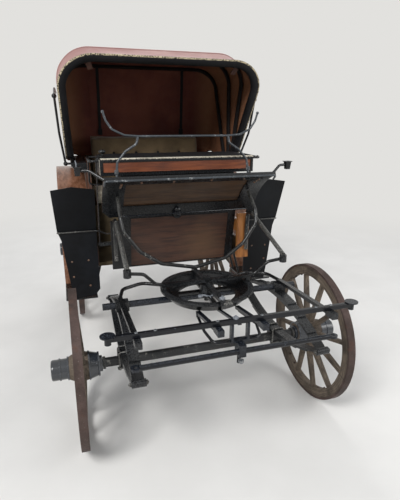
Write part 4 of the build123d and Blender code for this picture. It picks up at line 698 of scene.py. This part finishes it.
def curtain(x, share, proud):
    """A place on the inside of the rear curtain."""
    (top_ahead, top_z), (low_ahead, low_z) = HOOD[3][1], HOOD[4][1]
    depth = HOOD_SKIN + HOOD_SLACK + CURTAIN_SAG * 4 * share * (1 - share) + proud
    y = ahead(top_ahead + (low_ahead - top_ahead) * share + depth)
    return (x, y, top_z + (low_z - top_z) * share - 0.006)


straps = Batch()
seams = Batch()
for x in (-0.365, 0.365):
    straps.strap([curtain(x, 0.02 + 0.74 * k / 10, 0.004) for k in range(11)], (1, 0, 0), 0.024, 0.004)
    straps.strap([curtain(x, 0.72 + 0.07 * k / 2, 0.008) for k in range(3)], (1, 0, 0), 0.036, 0.008)
for x in (-0.441, 0.441, -0.330, 0.330):
    seams.strap([curtain(x, 0.02 + 0.95 * k / 12, 0.0015) for k in range(13)], (1, 0, 0), 0.005, 0.003)
seams.strap([curtain(-0.36 + 0.72 * k / 10, 0.80, 0.002) for k in range(11)], (0, 0, 1), 0.010, 0.004)
curtain_straps = straps.finish("curtain_straps", black_hide)
curtain_seams = seams.finish("curtain_seams", lining_mat)
tabs = Batch()
TAB_STEP = SIDE_STEPS + CORNER_STEPS - 2
for side, index in ((-1, COUNT - 1 - TAB_STEP), (1, TAB_STEP)):
    for inset, drop in ((0.052, 0.0), (0.058, 0.004)):
        top = mouth_point(index, 0.040, inset)
        fold = top + Vector((-side * 0.010, 0.014, -0.012 - drop))
        tip = top + Vector((-side * 0.014, 0.034, -0.028 - drop))
        tabs.strap([top, fold, tip], (1, 0, 0), 0.034, 0.003)
corner_tabs = tabs.finish("lining_tabs", tab_mat)

# Outside: piping over the bows and along the hem
piping = Batch()
for section in HOOD[1:4]:
    piping.rod(arch(section, -0.001), 0.0026, 6)
piping.rod([row[0] + Vector((0.001, 0, 0.004)) for row in flat_rows], 0.0035, 6)
piping.rod([row[-1] + Vector((-0.001, 0, 0.004)) for row in flat_rows], 0.0035, 6)
piping.rod([p + Vector((0, 0, 0.004)) for p in arches[-1]], 0.0035, 6)
hood_piping = piping.finish("hood_piping", hood_mat)


# Stuffed pieces


VOXEL = 0.0085


def slab(name, profile, half):
    """A remeshed block whose side outline is profile (y, z), as wide as 2 x half."""
    bm = bmesh.new()
    ends = [[bm.verts.new((side * half, y, z)) for y, z in profile] for side in (-1, 1)]
    bm.faces.new(ends[0])
    bm.faces.new(list(reversed(ends[1])))
    for i in range(len(profile)):
        j = (i + 1) % len(profile)
        bm.faces.new((ends[0][i], ends[1][i], ends[1][j], ends[0][j]))
    obj = scene_object(name, closed_mesh(name, bm))
    remesh = obj.modifiers.new("remesh", "REMESH")
    remesh.mode, remesh.voxel_size = "VOXEL", VOXEL
    soften = obj.modifiers.new("soften", "SMOOTH")
    soften.factor, soften.iterations = 0.5, 6
    settle(obj)
    return obj


CLOTH_FRAMES = 20
CLOTH = {"quality": 5, "mass": 0.3, "tension_stiffness": 15, "compression_stiffness": 15,
         "shear_stiffness": 5, "bending_stiffness": 0.5, "use_pressure": True}


def stuff(obj, pressure, cap):
    """Blows the piece up as cloth, and keeps each point within cap of where it was."""
    rest = [v.co.copy() for v in obj.data.vertices]
    cloth = obj.modifiers.new("cloth", "CLOTH")
    for key, value in CLOTH.items():
        setattr(cloth.settings, key, value)
    cloth.settings.uniform_pressure_force = pressure
    cloth.settings.effector_weights.gravity = 0
    cloth.collision_settings.use_collision = False
    cloth.point_cache.frame_start, cloth.point_cache.frame_end = 1, CLOTH_FRAMES
    for number in range(1, CLOTH_FRAMES + 1):
        SCENE.frame_set(number)
    settle(obj)
    SCENE.frame_set(1)
    for vertex, start in zip(obj.data.vertices, rest):
        moved = vertex.co - start
        if moved.length > cap:
            vertex.co = start + moved.normalized() * cap


def soft_finish(obj, change, mat, node):
    """Moves a stuffed piece's points, smooths it and puts it in its CAD node's place."""
    for vertex in obj.data.vertices:
        vertex.co = change(vertex.co)
    refine = obj.modifiers.new("refine", "SUBSURF")
    refine.levels = refine.render_levels = 1
    settle(obj)
    obj.data.shade_smooth()
    obj.data.materials.append(mat)
    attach(obj, CARRIAGE)
    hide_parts(node)


SPARE = 0.0005  # between a stuffed piece and its CAD box


def clamp_box(point, low, high):
    """A point kept inside a CAD node's box."""
    return Vector([min(max(c, a + SPARE), b - SPARE) for c, a, b in zip(point, low, high)])


# Seat cushion: the seat back's drab cloth, painted cream as sunlit, a welt along its upper and lower edges
low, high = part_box("seat_cushion")
CORE_IN, CORNER = 0.012, 0.030
front, rear, foot, top = low.y + CORE_IN, high.y - 0.008, low.z + 0.026, high.z - CORE_IN
front_in, rear_in, side_top = low.y + CORNER, high.y - CORNER, high.z - CORNER
core = [(front_in, low.z + 0.006), (front, foot), (front, side_top), (front_in, top),
        (rear_in, top), (rear, side_top), (rear, foot), (rear_in, low.z + 0.006)]
cushion = slab("seat_cushion_cover", core, high.x - CORE_IN)
stuff(cushion, 4.0, 0.011)


def crown_cushion(p):
    """The cushion's falling edges, its two sat-in hollows and the groove under its front welt."""
    u = (p.x - low.x) / (high.x - low.x) * 2 - 1
    v = (p.y - low.y) / (high.y - low.y) * 2 - 1
    top = max(0.0, (p.z - low.z) / (high.z - low.z))
    fall = 0.012 * (abs(u) ** 4 + abs(v) ** 4) * top
    dent = 0.006 * (math.exp(-((abs(u) - 0.5) / 0.22) ** 2 - (v / 0.5) ** 2)) * top
    groove = 0.006 * math.exp(-((p.z - (high.z - 0.030)) / 0.006) ** 2) * (1 if v < 0 else 0)
    point = Vector((p.x, p.y + groove, p.z - fall - dent + 0.0015 * noise.noise(p * 16.0) * top))
    return clamp_box(point, low, high)


soft_finish(cushion, crown_cushion, cushion_painted_sun_mat, "seat_cushion")
WELT_R, WELT_STEPS = 0.0035, 20
welts = Batch()
for z in (high.z - 0.024, low.z + 0.020):
    inner = [(k / WELT_STEPS * (high.x - 0.006), low.y + 0.006 + 0.006 * abs(k / WELT_STEPS) ** 8, z)
             for k in range(1 - WELT_STEPS, WELT_STEPS)]
    ends = [(low.x + 0.024, low.y + 0.012, z), (high.x - 0.024, low.y + 0.012, z)]
    welts.rod(ends[:1] + inner + ends[1:], WELT_R)
welts.finish("cushion_welt", fray_mat)

# Seat back: drab cloth pulled in by buttons
back_low, back_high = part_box("seat_back")
BACK_PROFILE = ((0.147, 1.200), (0.060, 1.200), (-0.050, 1.555), (-0.002, 1.562), (0.044, 1.553))
seat_back = slab("seat_back_cover", [(ahead(d), z) for d, z in BACK_PROFILE], back_high.x - 0.010)
stuff(seat_back, 3.5, 0.010)
BUTTON_R, BUTTON_STEP = 0.011, 0.19
BUTTONS = [(x, z) for z, shift in ((1.300, 0.0), (1.420, 0.1))
           for x in (step / 1000 + shift for step in range(-380, 400, 190)) if abs(x) < 0.43]
BACK_TOP, BACK_FOOT = (0.044, 1.553), (0.150, 1.200)


def back_face(z):
    """How far ahead of the rear axle the seat back's front face is at a height."""
    share = (z - BACK_FOOT[1]) / (BACK_TOP[1] - BACK_FOOT[1])
    return BACK_FOOT[0] + (BACK_TOP[0] - BACK_FOOT[0]) * share


def tuft(p):
    """The seat back's face pulled in at the buttons and along the pleats between them."""
    if p.y > ahead(back_face(p.z)) + 0.030:
        return clamp_box(p, back_low, back_high)
    pull = 0.0
    for x, z in BUTTONS:
        gap = math.hypot(p.x - x, p.z - z)
        pull = max(pull, 0.032 * math.exp(-(gap / 0.030) ** 1.3))
        for other_x, other_z in BUTTONS:
            if other_z - z > 0.05 and abs(other_x - x) < 0.12:
                run = Vector((other_x - x, other_z - z))
                spot = Vector((p.x - x, p.z - z))
                share = min(max(spot.dot(run) / run.dot(run), 0), 1)
                pull = max(pull, 0.017 * math.exp(-((spot - run * share).length / 0.013) ** 2))
    out = abs(p.x) / back_high.x
    edge = 0.012 * out ** 8
    fall = 0.030 * out ** 14 * max(0.0, (p.z - 1.45) / 0.11)
    puff = 0.002 * math.cos(abs(p.x) % BUTTON_STEP / BUTTON_STEP * math.pi * 2)
    y = p.y + pull + edge + 0.002 * noise.noise(p * 14.0) + puff
    return clamp_box(Vector((p.x, y, p.z - fall)), back_low, back_high)


soft_finish(seat_back, tuft, seat_mat, "seat_back")
buttons = Batch()
for x, z in BUTTONS:
    cloth_y = min(v.co.y for v in seat_back.data.vertices if math.hypot(v.co.x - x, v.co.z - z) < BUTTON_R)
    buttons.revolve((x, cloth_y + 0.002, z), (0, -1, 0.28), DOME, BUTTON_R, 14)
buttons.finish("seat_back_buttons", black_hide)

# Driver's squab: thin black leather, crowned, with a stitched edge
low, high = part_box("driver_squab")
centre = (low + high) / 2
half_x, half_y = (high.x - low.x) / 2, (high.y - low.y) / 2
SQUAB_ROWS, SQUAB_COLUMNS = 24, 64


def stitched(share, half):
    """How deep the stitched line runs at a share of the way out to an edge."""
    return 0.0025 * math.exp(-(((1 - abs(share)) * half - 0.022) / 0.003) ** 2)


rows = []
for r in range(SQUAB_ROWS + 1):
    v = r / SQUAB_ROWS * 2 - 1
    row = []
    for c in range(SQUAB_COLUMNS + 1):
        u = c / SQUAB_COLUMNS * 2 - 1
        rim = 0.0035 * max(abs(u) ** 14, abs(v) ** 10)
        crown = 0.003 * (1 - u ** 4) * (1 - v ** 4)
        creased = 0.0012 * noise.noise(Vector((u * 9, v * 4, 1)))
        z = high.z - rim + crown - stitched(u, half_x) - stitched(v, half_y) + creased
        row.append(Vector((centre.x + u * half_x, centre.y + v * half_y, z)))
    rows.append(row)
squab = new_object("driver_squab_cover", grid_mesh("driver_squab_cover", rows), [black_hide], CARRIAGE)
thicken(squab, 0.007, -1.0)
settle(squab)
for vertex in squab.data.vertices:
    if vertex.co.z < high.z - 0.0045:
        vertex.co.z = low.z + 0.0003
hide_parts("driver_squab")
squab_welt = Batch()
line = ((high.x - 0.001, 0.012), (high.x - 0.012, 0.001), (0, 0), (low.x + 0.012, 0.001),
        (low.x + 0.001, 0.012))
squab_welt.rod([(x, low.y + deep, high.z - 0.003) for x, deep in line], WELT_R)
squab_welt.finish("squab_welt", black_hide)

# Worn edge of the driver's seat
SEAT_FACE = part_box("seat_frame")[0]
seat_half, seat_top = -SEAT_FACE.x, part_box("seat_frame")[1].z
THREADS, CORNER_THREADS = 120, 14
fray_line = Batch()
for k in range(THREADS):
    x = -seat_half + 0.008 + (2 * seat_half - 0.016) * k / (THREADS - 1)
    lean = RNG.uniform(-0.5, 0.5)
    fray_line.strap([
        (x - 0.005, SEAT_FACE.y + 0.006, seat_top + 0.0005),
        (x + lean * 0.004, SEAT_FACE.y + 0.0015, seat_top + 0.0022),
        (x + 0.004 + lean * 0.004, SEAT_FACE.y - 0.0020, seat_top - RNG.uniform(0.001, 0.005)),
    ], (0.4 * lean, 0, 1), 0.0065, 0.0018)
fray_line.finish("driver_seat_frayed_edge", fray_mat)
fray_corner = Batch()
for k in range(CORNER_THREADS):
    z = seat_top - 0.090 + 0.085 * k / (CORNER_THREADS - 1)
    ends = [(-seat_half - 0.0012, SEAT_FACE.y + 0.004, z),
            (-seat_half - 0.0022, SEAT_FACE.y + 0.010, z + RNG.uniform(0, 0.004))]
    fray_corner.strap(ends, (0, 0.2, 1), 0.004, 0.001)
fray_corner.finish("driver_seat_frayed_corner", fray_mat)

# Toe board: the rod across its frame, with a boss on the middle
BOSS = ((0, 0), (0, 0.030), (0.016, 0.030), (0.026, 0.024), (0.030, 0.014), (0.044, 0.012),
        (0.048, 0))
STUD = ((0, 0), (0, 0.019), (0.012, 0.018), (0.017, 0.010), (0.018, 0))
toe = Batch()
toe.rod(behind((-0.385, 0.474, 1.140), (-0.385, 0.440, 1.136), (-0.376, 0.431, 1.135), (0.418, 0.431, 1.137),
               (0.428, 0.440, 1.138), (0.428, 0.474, 1.142)), 0.0045)
toe.revolve((-0.031, back(0.484), 1.120), (0, -1, 0.3), BOSS, 1.0, 20)
toe.revolve((-0.031, back(0.470), 1.152), (0, -1, 0.3), STUD, 1.0, 16)
toe.finish("toe_board_rod", draught)

# Rivets of the toe frame and of the guards
RIVET_R = 0.007
toe_rivets = [(side * 0.405, d, z) for side in (-1, 1)
              for d, z in ((0.215, 1.362), (0.245, 1.350), (0.275, 1.337))]
toe_rivets += [(x, 0.190, 1.372) for x in (-0.300, -0.120, 0.100, 0.300)]
rivets = Batch()
for x, y, z in behind(*toe_rivets):
    rivets.revolve((x, y - 0.004, z - 0.004), (0, -1, -0.9), DOME, RIVET_R, 10)
for side in (-1, 1):
    for x, z in ((0.696, 0.798), (0.692, 0.692), (0.590, 0.800), (0.590, 0.620)):
        rivets.revolve((side * x, back(0.672) - 0.001, z), (0, -1, 0), DOME, RIVET_R, 10)
rivets.finish("body_rivets", bright_rust)

# The stub of a lamp's stem, and the bright nuts, hook and clip of the ring
spike = Batch()
spike.rod(behind((-0.632, 0.279, 1.446), (-0.631, 0.279, 1.470), (-0.635, 0.281, 1.486)), 0.0032)
spike.finish("lamp_stem_stub", bright_iron)

RING_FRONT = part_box("upper_ring")[0].y
SPLINTER_Y = back(-0.514)
RING_NUT = ((0, 0), (0, 0.015), (0.010, 0.015), (0.012, 0.012), (0.012, 0.006), (0.018, 0.006),
            (0.018, 0))
LOOP_NUT = ((0, 0), (0, 0.013), (0.009, 0.013), (0.011, 0.011), (0.011, 0.005), (0.016, 0.005),
            (0.016, 0))
bright = Batch()
bright.revolve((0.0, RING_FRONT + 0.016, 0.846), UP, RING_NUT, 1.0, 4, 0.6)
bright.revolve((-0.021, SPLINTER_Y, 0.852), UP, LOOP_NUT, 1.0, 4, 0.4)
bright.finish("bright_nuts", bright_iron, FORECARRIAGE)

HOOK_BUTTON = ((0, 0), (0, 0.013), (0.006, 0.014), (0.010, 0.011), (0.011, 0))
hook = Batch()
hook.revolve((-0.046, back(-0.070), 0.776), UP, HOOK_BUTTON, 1.0, 14)
hook.rod(behind((-0.040, -0.070, 0.783), (-0.024, -0.074, 0.784), (-0.006, -0.086, 0.780),
                (0.010, -0.088, 0.779), (0.026, -0.080, 0.784), (0.042, -0.066, 0.788)), 0.0050)
hook.rod(behind((0.002, -0.086, 0.779), (0.000, -0.112, 0.778), (-0.002, -0.136, 0.776)), 0.0050)
hook.finish("ring_hook", bright_iron, FORECARRIAGE)
clip = Batch()
CLIP_LINE = ((0.040, 0.8275), (-0.002, 0.8275), (-0.004, 0.8205))
clip.strap([(0.026, RING_FRONT + out, z) for out, z in CLIP_LINE], (1, 0, 0), 0.046, 0.004)
clip.revolve((0.036, RING_FRONT + 0.012, 0.8295), UP, DOME, 0.006, 10)
clip.finish("ring_clip", worn_grey)

# Brake lever: a flat bar seen on edge, with a turned knob
LEVER_FOOT, LEVER_PIN_Z = 0.700, 0.896
KNOB = ((0, 0), (0, 0.013), (0.003, 0.014), (0.006, 0.008), (0.012, 0.007), (0.015, 0.013),
        (0.020, 0.019), (0.026, 0.021), (0.032, 0.019), (0.037, 0.012), (0.039, 0))
lever = Batch()
lever.strap(behind((-0.5085, LEVER_FOOT, 0.886), (-0.5085, 0.600, 1.300), (-0.5065, 0.592, 1.350),
                   (-0.5065, 0.577, 1.455), (-0.504, 0.573, 1.474), (-0.494, 0.569, 1.4835),
                   (-0.468, 0.560, 1.4850)), (0, 1, 0), 0.022, 0.0065)
lever.revolve((-0.468, back(0.560), 1.4845), UP, KNOB, 1.0, 22)
lever.revolve((-0.505, back(LEVER_FOOT), LEVER_PIN_Z), (-1, 0, 0), NUT, 0.013, 6)
lever.strap(behind((-0.5045, LEVER_FOOT, LEVER_PIN_Z), (-0.372, LEVER_FOOT, LEVER_PIN_Z)), (0, 1, 0),
            0.028, 0.022)
brake = lever.finish("brake_lever_bar", iron)
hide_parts("brake_lever")

# Springs: bolts through the eyes and clips over the leaves
GAUGES = {"front": (FRONT_AXLE_Y, 0.423, FORECARRIAGE), "rear": (REAR_AXLE_Y, 0.590, CARRIAGE)}
AXLE_R, CLIP_PLATE_T, LEAVES, LEAF_T, EYE_R = 0.026, 0.006, 4, 0.007, 0.018
CLIP_R, CLIP_HALF, CLIP_REACH = 0.005, 0.033, 0.034
for pair, (axle_y, axle_z, body_name) in GAUGES.items():
    clips = Batch()
    top = axle_z + AXLE_R + CLIP_PLATE_T + LEAVES * LEAF_T + CLIP_R
    plate_z = axle_z - 0.028
    for side in ("left", "right"):
        node = f"{pair}_spring_{side}"
        low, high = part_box(node)
        x = (low.x + high.x) / 2
        mesh = NODES[node].data
        for edge in (low.y, high.y):
            near = [v.co.z for v in mesh.vertices if abs(v.co.y - edge) < 0.012]
            eye_z = (min(near) + max(near)) / 2
            eye_y = edge + (EYE_R if edge == low.y else -EYE_R)
            for end in (-1, 1):
                clips.revolve((x + end * CLIP_HALF, eye_y, eye_z), (end, 0, 0), NUT, 0.011, 6, 0.3)
        ends_y = (axle_y - CLIP_REACH, axle_y + CLIP_REACH)
        for y in ends_y:
            leg = [(CLIP_HALF, axle_z - 0.036), (CLIP_HALF, top - 0.006), (0.026, top)]
            clips.rod([(x - h, y, z) for h, z in leg] + [(x + h, y, z) for h, z in reversed(leg)], CLIP_R)
            for end in (-1, 1):
                clips.revolve((x + end * CLIP_HALF, y, axle_z - 0.030), (0, 0, -1), NUT, 0.0095, 6)
        for y in ends_y:
            clips.strap([(x - 0.045, y, plate_z), (x + 0.045, y, plate_z)], (0, 1, 0), 0.020, 0.005)
    clips.finish(f"{pair}_spring_clips", worn_grey, body_name)

# Roller discs' rings, bolts along the splinter bar and evener
BEAD = ((-0.001, -0.002), (0.0012, -0.0012), (0.0016, 0), (0.0012, 0.0012), (-0.001, 0.002))
bolts = Batch()
for side in (-1, 1):
    place = (side * 0.583, SPLINTER_Y, 0.8525)
    for radius in (0.026, 0.019, 0.012):
        bolts.revolve(place, UP, [(high, radius + out) for high, out in BEAD], 1.0, 28)
    bolts.revolve(place, UP, DOME, 0.008, 12)
    for x in (0.107, 0.466, 0.385):
        bolts.revolve((side * x, SPLINTER_Y, 0.852), UP, DOME, 0.008, 10)
bolts.revolve((0.0, back(-0.541), 0.652), (0, 0, -1), NUT, 0.013, 6)
bolts.finish("draught_bolts", rail_grey, FORECARRIAGE)

# Wheels: bolts through felloes and tyres
TYRE_BOLT = ((-0.002, 0), (-0.002, 0.009), (0, 0.0088), (0.001, 0.006), (0.001, 0))
for pair, joints in JOINTS.items():
    for side in ("left", "right"):
        low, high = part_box(f"tyre_{pair}_{side}")
        centre = (low + high) / 2
        radius = (high.z - low.z) / 2
        bits = Batch()
        for joint in range(joints):
            for turn in (-0.10, 0.10):
                angle = 2 * math.pi * (joint + 0.5) / joints + turn + math.pi / 2
                out = Vector((0, math.cos(angle), math.sin(angle)))
                bits.revolve(centre + out * (radius - 0.064), -out, NUT, 0.0075, 6)
                bits.revolve(centre + out * (radius - 0.0012), out, TYRE_BOLT, 1.0, 12)
        bits.finish(f"{pair}_{side}_wheel_bolts", tyre_mat, f"{pair}_{side}_wheel")

# Floor and world
PALE = srgb(226, 225, 222)


def camera_share(tree):
    """Is the ray from the camera, or seen in metal or glass?"""
    path = tree.nodes.new("ShaderNodeLightPath")
    total = path.outputs["Is Camera Ray"]
    for socket in ("Is Glossy Ray", "Is Transmission Ray"):
        added = tree.nodes.new("ShaderNodeMath")
        added.operation, added.use_clamp = "ADD", True
        tree.links.new(total, added.inputs[0])
        tree.links.new(path.outputs[socket], added.inputs[1])
        total = added.outputs[0]
    return total


ground = Shader("floor")
floor_colour = ground.mix(ground.ramp(ground.noise(2.0), 0.3, 0.7), (218, 216, 212), (224, 222, 218))
floor_mat = ground.finish(floor_colour, 0.9)
glow = ground.node("ShaderNodeEmission", {0: PALE})
far = ground.node("ShaderNodeVectorMath", {0: ground.coords}, operation="LENGTH").outputs["Value"]
share = ground.times(ground.ramp(far, 2.2, 6.0), camera_share(ground.tree))
mixer = ground.node("ShaderNodeMixShader", {0: share, 1: ground.bsdf.outputs[0], 2: glow.outputs[0]})
ground.put(ground.out.inputs[0], mixer.outputs[0])
floor = scene_object("floor", grid_mesh("floor", [[Vector((x, y, 0)) for x in (-40, 40)] for y in (-40, 40)]))
floor.data.materials.append(floor_mat)

world = bpy.data.worlds.new("studio")
SCENE.world = world
world.use_nodes = True
tree = world.node_tree
light = tree.nodes["Background"]
light.inputs[0].default_value = (0.86, 0.90, 0.96, 1)
light.inputs[1].default_value = 0.5
shown = tree.nodes.new("ShaderNodeBackground")
shown.inputs[0].default_value = PALE
mixer = tree.nodes.new("ShaderNodeMixShader")
for index, socket in enumerate((camera_share(tree), light.outputs[0], shown.outputs[0])):
    tree.links.new(socket, mixer.inputs[index])
tree.links.new(mixer.outputs[0], tree.nodes["World Output"].inputs[0])
